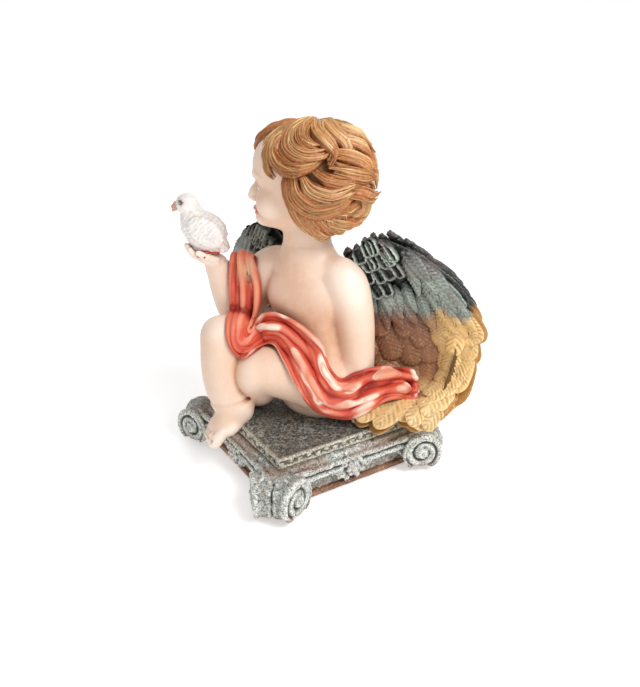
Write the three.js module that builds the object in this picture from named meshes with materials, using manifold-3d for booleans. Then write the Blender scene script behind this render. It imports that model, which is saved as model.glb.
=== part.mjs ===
// Resin cherub with a dove, seated on a scrolled column capital.
//
// Millimetres, +Z up. The origin is the centre of the felt's underside, on the surface that the figurine
// stands on. The capital is square to X and Y, and its front face looks along -Y. The cherub sits on the
// slab with its legs towards -Y, its chest turned towards +X and its head turned towards -X, to the dove on
// its raised right hand.
//
// The castings are glued with a line of adhesive, so that each one keeps a small clearance from its
// neighbours. Castings that were fitted first keep their whole shape, and each later one is trimmed to lie
// against them.
import * as THREE from "three";
import { mergeVertices } from "three/addons/utils/BufferGeometryUtils.js";
import Module from "manifold-3d";

const wasm = await Module();
wasm.setup();

// ---------------------------------------------------------------- driving dimensions
const GLUE_LINE = 0.3; // clearance between two castings that touch

const FELT_THICKNESS = 0.8;
const FELT_INSET = 2.5; // the felt's edge inside the bottom plate's edge
const PLATE_THICKNESS = 2.2;
const BLOCK_HALF = 30.2; // half the width of the capital's block, across its flat faces
const BLOCK_HEIGHT = 12;
const PLATE_HALF = BLOCK_HALF - 0.7; // half the width of the bottom plate
const SLAB_HALF = BLOCK_HALF - 1.5; // half the width of the slab that the cherub sits on
const SLAB_THICKNESS = 4;
const SLAB_BEVEL = 0.5;
const RAIL_RADIUS = 1.5; // the two roll mouldings along each face
const RAIL_SPACING = 4.6;
const VOLUTE_RADIUS = 7.9;
const VOLUTE_WIDTH = 8; // along the volute's own axis
const VOLUTE_ALONG = BLOCK_HALF - 2.6; // from the middle of a face to its volute's axis
const VOLUTE_OUT = BLOCK_HALF + 8.2; // from the middle of the capital to the volute's outer face
const VOLUTE_FLARE = THREE.MathUtils.degToRad(20); // how far each volute turns inwards
const CORNER_GROOVE = 0.9; // between the two volutes of a corner

const FIGURE_SCALE = 1; // of the whole cherub, from the middle of the slab's top
const HEAD_SCALE = 1; // of the head and hair, from the base of the neck
const DOVE_SCALE = 1; // of the dove, from its feet
const TORSO_YAW = THREE.MathUtils.degToRad(27); // the chest, turned from -Y towards +X
const HEAD_YAW = THREE.MathUtils.degToRad(-39); // the face, turned from -Y towards -X
const RIGHT_WING_SWEEP = THREE.MathUtils.degToRad(-8); // the right wing lies a little further back
const ARM_RADIUS = 6.8; // the upper arm's
const LEG_RADIUS = 8.0; // the shin's, below the knee
const SASH_HALF_THICKNESS = 1.7;
const WING_HALF_THICKNESS = 2.2;
const WING_PIN_RADIUS = 1.2;
const DOVE_PIN_RADIUS = 0.6;
const SEAT_DOWEL_RADIUS = 3;

// Heights that follow from the sizes above, from the floor up.
const plateBottom = FELT_THICKNESS + GLUE_LINE;
const blockBottom = plateBottom + PLATE_THICKNESS + GLUE_LINE;
const blockTop = blockBottom + BLOCK_HEIGHT;
const slabBottom = blockTop + GLUE_LINE;
const slabTop = slabBottom + SLAB_THICKNESS;

// ---------------------------------------------------------------- solids
const vector = (x, y, z = 0) => new THREE.Vector3(x, y, z);

// A geometry as a solid, with its shared vertices merged and no triangle of zero area.
function solid(geometry) {
  const bare = geometry.index ? geometry.toNonIndexed() : geometry.clone();
  bare.deleteAttribute("normal");
  bare.deleteAttribute("uv");
  const merged = mergeVertices(bare, 1e-4);
  const all = merged.index.array;
  const kept = [];
  for (let i = 0; i < all.length; i += 3) {
    const [a, b, c] = [all[i], all[i + 1], all[i + 2]];
    if (a !== b && b !== c && a !== c) kept.push(a, b, c);
  }
  const vertProperties = new Float32Array(merged.attributes.position.array);
  return new wasm.Manifold(new wasm.Mesh({ numProp: 3, vertProperties, triVerts: new Uint32Array(kept) }));
}

const joined = (solids) => solids.reduce((sum, next) => sum.add(next));

// A smooth line through points, and the same for the vectors that go with them.
const smooth = (points) => new THREE.CatmullRomCurve3(points, false, "catmullrom", 0.5);

// A closed solid with an elliptical section that follows a smooth line. A station is
// [x, y, z, half width, half depth], the first and last stations are the two tips, and facing is the
// direction of the depth, or one direction a station.
function sweep(stations, facing, grow = 0, { rings = 12, sectors = 12, bluntness = 2.6 } = {}) {
  const line = smooth(stations.map(([x, y, z]) => vector(x, y, z)));
  const section = smooth(stations.map(([, , , width, depth = width]) => vector(width, depth)));
  const faces = Array.isArray(facing) ? smooth(facing) : null;
  const geometry = new THREE.SphereGeometry(1, sectors, rings);
  const position = geometry.attributes.position;
  const onSphere = vector(0, 0, 0);
  for (let i = 0; i < position.count; i++) {
    onSphere.fromBufferAttribute(position, i);
    const along = THREE.MathUtils.clamp((1 - onSphere.y) / 2, 0, 1);
    const radius = Math.hypot(onSphere.x, onSphere.z);
    const fullness = (1 - Math.abs(onSphere.y) ** bluntness) ** (1 / bluntness);
    const tangent = line.getTangent(along);
    const depthAxis = (faces ? faces.getPoint(along) : facing).clone();
    depthAxis.addScaledVector(tangent, -depthAxis.dot(tangent)).normalize();
    const widthAxis = depthAxis.clone().cross(tangent);
    const { x: width, y: depth } = section.getPoint(along);
    const place = line.getPoint(along).addScaledVector(tangent, -onSphere.y * grow);
    if (radius > 1e-6) {
      place.addScaledVector(widthAxis, (onSphere.x / radius) * fullness * (width + grow));
      place.addScaledVector(depthAxis, (onSphere.z / radius) * fullness * (depth + grow));
    }
    position.setXYZ(i, place.x, place.y, place.z);
  }
  return solid(geometry);
}

// An ellipsoid whose three radii lie along the axes of a frame.
function ellipsoid(frame, centre, radii, grow = 0, segments = 20) {
  const geometry = new THREE.SphereGeometry(1, segments, Math.round(segments * 0.7));
  geometry.scale(radii[0] + grow, radii[1] + grow, radii[2] + grow);
  return solid(geometry.translate(...centre).applyMatrix4(frame));
}

// A pin between two points.
function pin(from, to, radius, grow = 0) {
  const length = from.distanceTo(to) + 2 * grow;
  const geometry = new THREE.CylinderGeometry(radius + grow, radius + grow, length, 16);
  const along = to.clone().sub(from).normalize();
  geometry.applyQuaternion(new THREE.Quaternion().setFromUnitVectors(vector(0, 1, 0), along));
  return solid(geometry.translate(...from.clone().add(to).multiplyScalar(0.5)));
}

// A box between two corners.
function box(low, high) {
  const size = vector(...high).sub(vector(...low));
  const middle = vector(...high).add(vector(...low)).multiplyScalar(0.5);
  return solid(new THREE.BoxGeometry(...size).translate(...middle));
}

// A plate with a square or chamfered outline, from one height to another.
function plate(half, chamfer, bottom, top, bevel, grow = 0) {
  const edge = half - bevel + grow;
  const cut = Math.max(chamfer, 1e-3);
  const outline = new THREE.Shape([
    [edge, cut - edge], [edge, edge - cut], [edge - cut, edge], [cut - edge, edge],
    [-edge, edge - cut], [-edge, cut - edge], [cut - edge, -edge], [edge - cut, -edge],
  ].map(([x, y]) => new THREE.Vector2(x, y)));
  const depth = top - bottom - 2 * bevel + 2 * grow;
  const bevels = { bevelEnabled: bevel > 0, bevelSize: bevel, bevelThickness: bevel, bevelSegments: 2 };
  const geometry = new THREE.ExtrudeGeometry(outline, { depth, ...bevels });
  return solid(geometry.translate(0, 0, bottom + bevel - grow));
}

// ---------------------------------------------------------------- frames
const UP = vector(0, 0, 1);
const HALF_TURN = Math.PI;
const QUARTER_TURN = Math.PI / 2;

// A frame whose X is a figure's left, -Y its front and Z up, turned by yaw about its origin.
function frameAt(origin, yaw, scale = 1) {
  return new THREE.Matrix4()
    .makeTranslation(...origin)
    .multiply(new THREE.Matrix4().makeRotationZ(yaw))
    .multiply(new THREE.Matrix4().makeScale(scale, scale, scale));
}

// A point of the cherub, given from the middle of the slab's top.
const onSlab = ([x, y, z]) => vector(x, y, z).multiplyScalar(FIGURE_SCALE).add(vector(0, 0, slabTop));
const stationOnSlab = ([x, y, z, ...radii]) => [
  ...onSlab([x, y, z]),
  ...radii.map((r) => r * FIGURE_SCALE),
];

const torsoFront = vector(Math.sin(TORSO_YAW), -Math.cos(TORSO_YAW));
const torsoLeft = vector(Math.cos(TORSO_YAW), Math.sin(TORSO_YAW));

const neckBase = onSlab([-4, 3, 56]);
const headFrame = frameAt(neckBase, HEAD_YAW, FIGURE_SCALE * HEAD_SCALE)
  .multiply(new THREE.Matrix4().makeTranslation(0, 0, 32.6));

const palmCentre = [-27.2, -27.5, 60.2];
const dovePerch = onSlab(palmCentre);
const doveFrame = frameAt(dovePerch, THREE.MathUtils.degToRad(-33), FIGURE_SCALE * DOVE_SCALE);

// ---------------------------------------------------------------- the capital
function feltPad(grow) {
  return plate(PLATE_HALF - FELT_INSET, 0, 0, FELT_THICKNESS, 0, grow);
}

function bottomPlate(grow) {
  return plate(PLATE_HALF, 5, plateBottom, plateBottom + PLATE_THICKNESS, 0.4, grow);
}

// A roll moulding along the front face, which bends outwards to meet the volute at each end.
function rail(height, grow) {
  const end = VOLUTE_ALONG - VOLUTE_RADIUS * 0.55;
  const reach = VOLUTE_OUT - VOLUTE_RADIUS * Math.tan(VOLUTE_FLARE) - RAIL_RADIUS;
  const middle = BLOCK_HALF + RAIL_RADIUS * 0.35;
  const stations = [-1, -0.72, -0.4, 0, 0.4, 0.72, 1].map((share) => {
    const out = middle + (reach - middle) * share ** 6;
    return [share * end, -out, height, RAIL_RADIUS];
  });
  return sweep(stations, UP, grow, { rings: 8, sectors: 5, bluntness: 8 });
}

// Leaves that spread both ways from three buds, over the rails in the middle of the front face.
function spray(grow) {
  const middle = blockTop - RAIL_RADIUS - RAIL_SPACING / 2;
  const face = -BLOCK_HALF - RAIL_RADIUS;
  const out = vector(0, -1, 0);
  const shape = { rings: 4, sectors: 5, bluntness: 2 };
  const buds = [[-1.9, 0.9], [1.9, 0.9], [0, -1.7]].map(([x, z]) => {
    const stations = [
      [x, face + 1, middle + z - 2.2, 1.7],
      [x, face - 0.4, middle + z, 1.7],
      [x, face + 1, middle + z + 2.2, 1.7],
    ];
    return sweep(stations, out, grow, shape);
  });
  const leaves = [-1, 1].flatMap((way) => [0, 1].map((step) => {
    const root = way * (2.5 + step * 3.2);
    const tip = way * (7 + step * 4.4);
    const stations = [
      [root, face + 0.8, middle - 0.6, 1.2, 1.1],
      [(root + tip) / 2, face - 0.3, middle + 0.6, 1.5, 1.2],
      [tip, face + 0.9, middle + 2.2 - step * 0.5, 0.9, 0.9],
    ];
    return sweep(stations, out, grow, shape);
  }));
  return joined([...buds, ...leaves]);
}

function capitalBlock(grow) {
  const core = plate(BLOCK_HALF, 9, blockBottom, blockTop, 0.6, grow);
  const face = joined([
    rail(blockTop - RAIL_RADIUS, grow),
    rail(blockTop - RAIL_RADIUS - RAIL_SPACING, grow),
    spray(grow),
  ]);
  const faces = [0, 1, 2, 3].map((turn) => face.rotate([0, 0, turn * 90]));
  return joined([core, ...faces]);
}

// One volute: a drum with a spiral bead on its outer face, in a frame whose +Z is the drum's axis.
function volute(grow) {
  const drum = new THREE.CylinderGeometry(
    VOLUTE_RADIUS - 0.5 + grow, VOLUTE_RADIUS + grow, VOLUTE_WIDTH + 2 * grow, 20);
  drum.rotateX(QUARTER_TURN).translate(0, 0, -VOLUTE_WIDTH / 2);
  const turns = 1.7;
  const steps = 17;
  const beadRadius = 1.15;
  const stations = Array.from({ length: steps }, (_, i) => {
    const share = i / (steps - 1);
    const radius = THREE.MathUtils.lerp(VOLUTE_RADIUS - beadRadius, beadRadius, share ** 0.8);
    const angle = QUARTER_TURN + share * turns * 2 * HALF_TURN;
    return [radius * Math.cos(angle), radius * Math.sin(angle), 0, beadRadius];
  });
  const bead = sweep(stations, vector(0, 0, 1), grow, { rings: 22, sectors: 5, bluntness: 10 });
  return solid(drum).add(bead);
}

// The two volutes that share the front left corner, with the stone behind them.
function cornerScrolls(grow) {
  const place = new THREE.Matrix4().makeTranslation(VOLUTE_ALONG, -VOLUTE_OUT, VOLUTE_RADIUS)
    .multiply(new THREE.Matrix4().makeRotationZ(-VOLUTE_FLARE))
    .multiply(new THREE.Matrix4().makeRotationX(QUARTER_TURN));
  const reach = 2 * VOLUTE_OUT;
  const side = box([-reach, CORNER_GROOVE / 2 - grow, -reach], [reach, reach, reach]).rotate([0, 0, -135]);
  const onFront = volute(grow).transform(place.elements).intersect(side);
  const onLeft = onFront.mirror([1, 1, 0]);
  const inset = VOLUTE_OUT - 5;
  const heart = pin(vector(inset, -inset, 0.6), vector(inset, -inset, blockTop - 1.2), 6, grow);
  return joined([onFront, onLeft, heart]);
}

function slab(grow) {
  return plate(SLAB_HALF, 0, slabBottom, slabTop, SLAB_BEVEL, grow);
}

// ---------------------------------------------------------------- the cherub
function torso(grow) {
  const stations = [
    [1, 5, 0.3, 10, 9], [0.5, 5, 7, 16, 13.5], [-0.3, 4.5, 20, 15.2, 12.8], [-1.3, 4, 33, 14.6, 12],
    [-2.8, 3.7, 45, 16, 11.4], [-3.5, 3.5, 53, 15.4, 10.2], [-4, 3.2, 58.5, 12, 8.6], [-4, 3, 63, 8, 8],
  ];
  return sweep(stations.map(stationOnSlab), torsoFront, grow, { rings: 16, sectors: 16, bluntness: 3 });
}

// The head with its neck. In the head's frame, the face looks along -Y from the middle of the skull.
function head(grow) {
  const part = (centre, radii) => ellipsoid(headFrame, centre, radii, grow, 16);
  const neck = sweep([[-4, 3.2, 51, 8, 8], [-4, 3, 60, 9, 9], [-4.2, 2.6, 68, 9, 9], [-4.2, 2.4, 75, 8, 8]]
    .map(stationOnSlab), torsoFront, grow, { rings: 6, sectors: 12, bluntness: 4 });
  const skull = part([0, 0, -0.6], [15.6, 17.4, 16.8]);
  const cheeks = part([0, -8.6, -9.4], [12.8, 10, 10.2]);
  const nose = part([0, -18.4, -5.8], [1.7, 2.4, 1.9]);
  const chin = part([0, -14.6, -15.8], [4, 4, 3.2]);
  return joined([neck, skull, cheeks, nose, chin]);
}

// The hair: a cap that leaves the face open, and locks that run from the crown to the cap's edge.
function hair(grow) {
  const radii = [19, 20.2, 19];
  const centre = [0, 3.2, -0.6];
  const cap = ellipsoid(headFrame, centre, radii, grow, 20);
  const toWorld = (solidInHead) => solidInHead.transform(headFrame.elements);
  const face = toWorld(box([-30, -40, -40], [30, -4.6 - grow, 3.5 - grow]));
  const nape = toWorld(box([-30, -40, -40], [30, 40, -17.8 - grow]));
  const onCap = (around, down, lift) => vector(
    centre[0] + (radii[0] + lift) * Math.sin(down) * Math.sin(around),
    centre[1] - (radii[1] + lift) * Math.sin(down) * Math.cos(around),
    centre[2] + (radii[2] + lift) * Math.cos(down),
  );
  const lock = (around, from, to, twist) => {
    const shares = [0, 0.35, 0.7, 1];
    const points = shares.map((share) =>
      onCap(around + twist * share * share, from + (to - from) * share, -0.6));
    const widths = [1.6, 3.6, 3.4, 1];
    const stations = points.map((point, i) => [...point, widths[i] + grow, 1.7 + grow]);
    const outwards = points.map((point) => point.clone().sub(vector(...centre)).normalize());
    return toWorld(sweep(stations, outwards, 0, { rings: 6, sectors: 5, bluntness: 2 }));
  };
  const crownCount = 9;
  const crownLocks = Array.from({ length: crownCount }, (_, i) => {
    const around = (i / crownCount) * 2 * HALF_TURN + 0.2;
    const overFace = Math.cos(around) > 0.35;
    return lock(around, 0.12, overFace ? 1.05 : 1.5, i % 2 ? 0.5 : 0.35);
  });
  const napeCount = 7;
  const napeLocks = Array.from({ length: napeCount }, (_, i) => {
    const around = HALF_TURN * (0.52 + 0.96 * (i / (napeCount - 1)));
    return lock(around, 1.45, 2.35, i % 2 ? 0.4 : -0.35);
  });
  return joined([cap.subtract(face).subtract(nape), ...crownLocks, ...napeLocks]);
}

function leftArm(grow) {
  const arm = [
    [8, 8, 57, 4],
    [10.8, 9.3, 52, ARM_RADIUS + 0.3],
    [12.2, 12, 39, ARM_RADIUS + 0.2],
    [13, 13.2, 26, ARM_RADIUS - 0.1],
    [14.4, 13.6, 10, 5],
    [15.5, 13.5, 3.4, 4],
  ];
  const hand = [
    [14, 14, 4.5, 3, 2],
    [16.6, 13.4, 2.9, 4.6, 2.5],
    [19.8, 12.4, 1.9, 4.4, 1.6],
    [22.6, 11.6, 1.7, 3, 1.1],
  ];
  return joined([
    sweep(arm.map(stationOnSlab), torsoFront, grow, { rings: 12, sectors: 10 }),
    sweep(hand.map(stationOnSlab), UP, grow, { rings: 6, sectors: 10 }),
  ]);
}

function rightArm(grow) {
  const upper = [
    [-14, -1, 58, 4],
    [-18, -5, 52.5, ARM_RADIUS],
    [-21.5, -11, 42, ARM_RADIUS - 0.4],
    [-24.4, -15.8, 33.6, ARM_RADIUS - 0.6],
    [-25.4, -17, 29.5, 4],
  ];
  const fore = [
    [-24.2, -15, 29.5, 4],
    [-25.4, -17.4, 37, ARM_RADIUS - 0.8],
    [-26.2, -20.3, 46, 5.3],
    [-26.5, -22, 53, 4],
    [-26.8, -23, 57.5, 3],
  ];
  const palm = [
    [-26, -20, 54, 3.2, 2.6],
    [-26.6, -24, 56.8, 4.8, 2.4],
    [-27.4, -28.6, 58.4, 5, 2],
    [-28, -33.4, 62, 3.2, 1.3],
  ];
  return joined([
    sweep(upper.map(stationOnSlab), torsoFront, grow, { rings: 10, sectors: 10 }),
    sweep(fore.map(stationOnSlab), torsoFront, grow, { rings: 10, sectors: 10 }),
    sweep(palm.map(stationOnSlab), UP, grow, { rings: 6, sectors: 10 }),
  ]);
}

function rightLeg(grow) {
  const thigh = [
    [-5, 9, 12, 6],
    [-8, 3, 11.6, 10.8],
    [-10.5, -14, 22, LEG_RADIUS + 1.5],
    [-12.4, -26, 30, LEG_RADIUS],
    [-13, -33, 32.5, 5],
  ];
  const shin = [
    [-12.8, -28, 38.6, 5],
    [-12.6, -28.2, 31, LEG_RADIUS],
    [-10.6, -28.8, 18.5, LEG_RADIUS - 0.4],
    [-7, -29, 8, 6.2],
    [-5, -28.2, 0.9, 5],
  ];
  const foot = [
    [-3.4, -22.6, 4.6, 4, 3.4],
    [-4.6, -28, 4.6, 5.2, 4.1],
    [-6.4, -34, 2.2, 5.4, 3.7],
    [-8, -39.5, -1.2, 4.6, 2.6],
    [-8.6, -43, -3, 3, 1.5],
  ];
  return joined([
    sweep(thigh.map(stationOnSlab), UP, grow, { rings: 10, sectors: 12 }),
    sweep(shin.map(stationOnSlab), torsoFront, grow, { rings: 10, sectors: 10 }),
    sweep(foot.map(stationOnSlab), UP, grow, { rings: 8, sectors: 10 }),
  ]);
}

function leftLeg(grow) {
  const thigh = [
    [11, 10, 10.6, 6],
    [9, 2, 10.6, 10.2],
    [3, -9, 14.4, LEG_RADIUS + 1.8],
    [-2, -17, 18.2, LEG_RADIUS + 0.9],
    [-5, -24, 20, 4.5],
  ];
  const shin = [
    [1.5, -20.5, 22.5, 4],
    [-3.4, -18.8, 15, LEG_RADIUS],
    [-8.6, -16.6, 9, LEG_RADIUS - 1],
    [-13.4, -17, 5.6, 4.8],
    [-16.5, -17.8, 4.4, 3.4],
  ];
  const foot = [
    [-12.5, -16, 4.8, 3, 2.6],
    [-16.5, -18, 4.3, 4, 3.4],
    [-20.5, -20.5, 3, 4, 2.4],
    [-25, -23, 1.9, 2.6, 1.3],
  ];
  return joined([
    sweep(thigh.map(stationOnSlab), UP, grow, { rings: 10, sectors: 12 }),
    sweep(shin.map(stationOnSlab), torsoFront, grow, { rings: 10, sectors: 10 }),
    sweep(foot.map(stationOnSlab), UP, grow, { rings: 6, sectors: 10 }),
  ]);
}

// One length of cloth: over the crook of the right arm, down to the lap, over the left thigh, down to the
// slab and back along it beside the left hand. Each row is a point, the half width, and the way that the
// cloth faces.
function sash(grow) {
  const rows = [
    [[-23.5, -12.5, 54], 4.6, [0.3, -0.2, 1]],
    [[-18.6, -14.4, 57.4], 5.4, [0.6, -0.4, 0.9]],
    [[-14.6, -17.4, 44], 5.4, [0.84, -0.54, 0]],
    [[-13.2, -18.2, 33.4], 5.4, [0.84, -0.54, -0.2]],
    [[-8.2, -16.6, 28.6], 5.6, [0.7, -0.5, 0.5]],
    [[-1.6, -13.4, 30], 6.4, [0.55, -0.4, 0.8]],
    [[6, -11, 28.2], 7.4, [0.55, -0.45, 0.75]],
    [[14, -9, 20.4], 8, [0.8, -0.5, 0.45]],
    [[18.4, -5, 9.6], 7.4, [0.85, -0.45, 0.4]],
    [[20.2, 1.6, 4.8], 6.4, [0.75, -0.3, 0.75]],
    [[21.6, 10, 8.6], 6, [0.7, -0.2, 0.75]],
    [[24, 19, 11.8], 6.4, [0.75, -0.2, 0.7]],
    [[25.8, 27.4, 10.4], 5.4, [0.8, -0.25, 0.55]],
  ];
  const stations = rows.map(([point, width]) => stationOnSlab([...point, width, SASH_HALF_THICKNESS]));
  const facing = rows.map(([, , way]) => vector(...way));
  return sweep(stations, facing, grow, { rings: 36, sectors: 8, bluntness: 5 });
}

// The wing's sheet: rows of points from the top ridge down to the feathers' tips, each from the root side
// outwards.
const WING_ROWS = [
  [[2.5, 13.5, 56], [11, 20.5, 65.6], [20, 27.5, 64.4], [28, 38, 56]],
  [[-1, 15.5, 46], [11, 27, 48.5], [23, 37.5, 48.5], [33, 46, 44.5]],
  [[0, 17, 31], [13, 31, 30.5], [25, 43, 30.5], [36.5, 50, 30.5]],
  [[10, 20, 14], [20, 32, 11.5], [30, 40, 11], [38, 43, 13.5]],
  [[23.5, 4, 2.4], [31, 9, 2.3], [36.5, 17, 2.3], [39, 28, 3]],
];

function wingPoint(across, down) {
  const rows = WING_ROWS.map((row) => smooth(row.map((point) => vector(...point))).getPoint(across));
  return smooth(rows).getPoint(down);
}

// A lens that follows the wing's sheet, with a scalloped edge where the feathers end.
function wing(grow, place) {
  const geometry = new THREE.SphereGeometry(1, 42, 10);
  const position = geometry.attributes.position;
  const step = 0.02;
  for (let i = 0; i < position.count; i++) {
    const [x, y, z] = [position.getX(i), position.getY(i), position.getZ(i)];
    const radius = Math.hypot(x, z);
    const stretch = radius > 1e-6 ? radius / Math.max(Math.abs(x), Math.abs(z)) : 1;
    const scallop = 1 - 0.035 * radius ** 4 * (1 - Math.cos(14 * Math.atan2(z, x)));
    const across = THREE.MathUtils.clamp(0.5 + 0.5 * x * stretch * scallop, 0, 1);
    const down = THREE.MathUtils.clamp(0.5 + 0.5 * z * stretch * scallop, 0, 1);
    const middle = wingPoint(across, down);
    const alongAcross = wingPoint(Math.min(across + step, 1), down)
      .sub(wingPoint(Math.max(across - step, 0), down));
    const alongDown = wingPoint(across, Math.min(down + step, 1))
      .sub(wingPoint(across, Math.max(down - step, 0)));
    const normal = alongAcross.cross(alongDown).normalize();
    const edgeWay = wingPoint(across, down).sub(wingPoint(0.5, 0.5)).normalize();
    const lift = Math.sign(y) * Math.abs(y) ** 0.6 * (WING_HALF_THICKNESS + grow);
    middle.addScaledVector(normal, lift).addScaledVector(edgeWay, grow * radius ** 4);
    position.setXYZ(i, ...place(middle));
  }
  const made = solid(geometry);
  return made.volume() < 0 ? solid(flipped(geometry)) : made;
}

// The same surface with its faces turned round.
function flipped(geometry) {
  const index = geometry.index.array;
  for (let i = 0; i < index.length; i += 3) [index[i + 1], index[i + 2]] = [index[i + 2], index[i + 1]];
  return geometry;
}

// The right wing mirrors the left one in the plane through the spine, and is turned back about its root.
const SPINE = vector(-4, 3, 0);
const LEFT_ROOT = vector(...WING_ROWS[0][0]);

function mirrored(point) {
  return point.clone().addScaledVector(torsoLeft, -2 * point.clone().sub(SPINE).dot(torsoLeft));
}

const RIGHT_ROOT = mirrored(LEFT_ROOT);

const placeLeft = (point) => onSlab([...point]);
const placeRight = (point) => onSlab([
  ...mirrored(point).sub(RIGHT_ROOT).applyAxisAngle(UP, RIGHT_WING_SWEEP).add(RIGHT_ROOT),
]);

// ---------------------------------------------------------------- the dove
function doveBody(grow) {
  const local = (stations) => stations.map(([y, z, width, depth]) => {
    const place = vector(0, y, z).applyMatrix4(doveFrame);
    const scale = FIGURE_SCALE * DOVE_SCALE;
    return [...place, width * scale, depth * scale];
  });
  const facing = vector(0, -1, 0).applyAxisAngle(UP, THREE.MathUtils.degToRad(-33));
  const body = [
    [7.4, 1.6, 2, 1.6],
    [4, 3.4, 5, 4.6],
    [0.6, 6.2, 6.4, 6.4],
    [-1.6, 10.6, 5.8, 6],
    [-3.9, 15.2, 3.9, 4.1],
    [-5.4, 18.6, 3.6, 3.8],
    [-5.8, 22, 2, 2],
  ];
  return sweep(local(body), facing, grow, { rings: 12, sectors: 12, bluntness: 2.4 });
}

// The pin stands in the palm and ends inside the dove.
function dovePin(grow) {
  const foot = dovePerch.clone().addScaledVector(UP, -2.6 * FIGURE_SCALE);
  const tip = dovePerch.clone().addScaledVector(UP, 5.6 * FIGURE_SCALE * DOVE_SCALE);
  return pin(foot, tip, DOVE_PIN_RADIUS, grow);
}

function doveBeak(grow) {
  return ellipsoid(doveFrame, [0, -9.8, 17.6], [1.3, 2.4, 1.3], grow, 10);
}

function doveFeet(grow) {
  const foot = (way) => ellipsoid(doveFrame, [way * 1.9, 0.6, 0.9], [1.5, 2.4, 1.1], grow, 10);
  const bridge = ellipsoid(doveFrame, [0, 0.6, 1.1], [1.6, 1.2, 0.9], grow, 10);
  return joined([foot(-1), foot(1), bridge]);
}

// ---------------------------------------------------------------- materials
const finish = (color, roughness, metalness = 0) =>
  new THREE.MeshStandardMaterial({ color, roughness, metalness });
const MATERIALS = {
  felt: finish(0x3b4a3a, 0.95),
  brown: finish(0x8a6a50, 0.75),
  stone: finish(0x9aa097, 0.8),
  steel: finish(0x9a9c9e, 0.4, 0.9),
  wood: finish(0xb58a58, 0.7),
  skin: finish(0xe6c9b0, 0.45),
  hair: finish(0xc58b4a, 0.5),
  cloth: finish(0xd8553c, 0.42),
  feathers: finish(0xb7a067, 0.6),
  dove: finish(0xe9e2dc, 0.4),
  beak: finish(0xd9a693, 0.45),
  claw: finish(0xb5422f, 0.45),
};

// ---------------------------------------------------------------- assembly
const figurine = new THREE.Group();
figurine.name = "cherub_figurine";
const fitted = []; // every casting so far, with the room that it claims

const apart = (a, b) => [0, 1, 2].some((axis) => a.min[axis] > b.max[axis] || b.min[axis] > a.max[axis]);

// Adds a casting, trimmed to lie against those that were fitted before it.
function fit(name, material, build) {
  const claim = build(GLUE_LINE);
  const bounds = claim.boundingBox();
  let body = build(0);
  for (const other of fitted) if (!apart(bounds, other.bounds)) body = body.subtract(other.claim);
  fitted.push({ claim, bounds });
  const { numProp, vertProperties, triVerts } = body.getMesh();
  const geometry = new THREE.BufferGeometry();
  geometry.setAttribute("position", new THREE.InterleavedBufferAttribute(
    new THREE.InterleavedBuffer(new Float32Array(vertProperties), numProp), 3, 0));
  geometry.setIndex(new THREE.BufferAttribute(new Uint32Array(triVerts), 1));
  const mesh = new THREE.Mesh(geometry.toNonIndexed(), MATERIALS[material]);
  mesh.name = name;
  figurine.add(mesh);
}

const turned = (build, turns) => (grow) => build(grow).rotate([0, 0, turns * 90]);

// A pin that runs inside the wing's sheet, out of its root and into the back.
function wingPin(grow, place) {
  const far = wingPoint(0.4, 0.3);
  const near = wingPoint(0.1, 0.3);
  const inside = near.clone().lerp(far, -0.9);
  return pin(place(inside), place(far), WING_PIN_RADIUS, grow);
}

fit("seat_dowel", "wood", (grow) =>
  pin(vector(0, 5, slabBottom - 6), onSlab([0, 5, 12]), SEAT_DOWEL_RADIUS, grow));
fit("left_wing_pin", "steel", (grow) => wingPin(grow, placeLeft));
fit("right_wing_pin", "steel", (grow) => wingPin(grow, placeRight));
fit("dove_pin", "steel", dovePin);

fit("felt_pad", "felt", feltPad);
fit("bottom_plate", "brown", bottomPlate);
fit("capital_block", "stone", capitalBlock);
["front_left", "back_left", "back_right", "front_right"].forEach((corner, turns) => {
  fit(`corner_scrolls_${corner}`, "stone", turned(cornerScrolls, turns));
});
fit("abacus_slab", "stone", slab);

fit("torso", "skin", torso);
fit("head", "skin", head);
fit("hair", "hair", hair);
fit("left_leg", "skin", leftLeg);
fit("right_leg", "skin", rightLeg);
fit("left_arm", "skin", leftArm);
fit("right_arm", "skin", rightArm);
fit("sash", "cloth", sash);
fit("left_wing", "feathers", (grow) => wing(grow, placeLeft));
fit("right_wing", "feathers", (grow) => wing(grow, placeRight));
fit("dove_feet", "claw", doveFeet);
fit("dove", "dove", doveBody);
fit("dove_beak", "beak", doveBeak);

export default figurine;
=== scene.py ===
"""The painted look of a resin cherub with a dove, seated on a scrolled capital.

Shapes are given in millimetres. Z counts from the top of the slab that the cherub sits on, +X is the
cherub's left and -Y is the capital's front, as in the CAD model.
"""

import math

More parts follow.
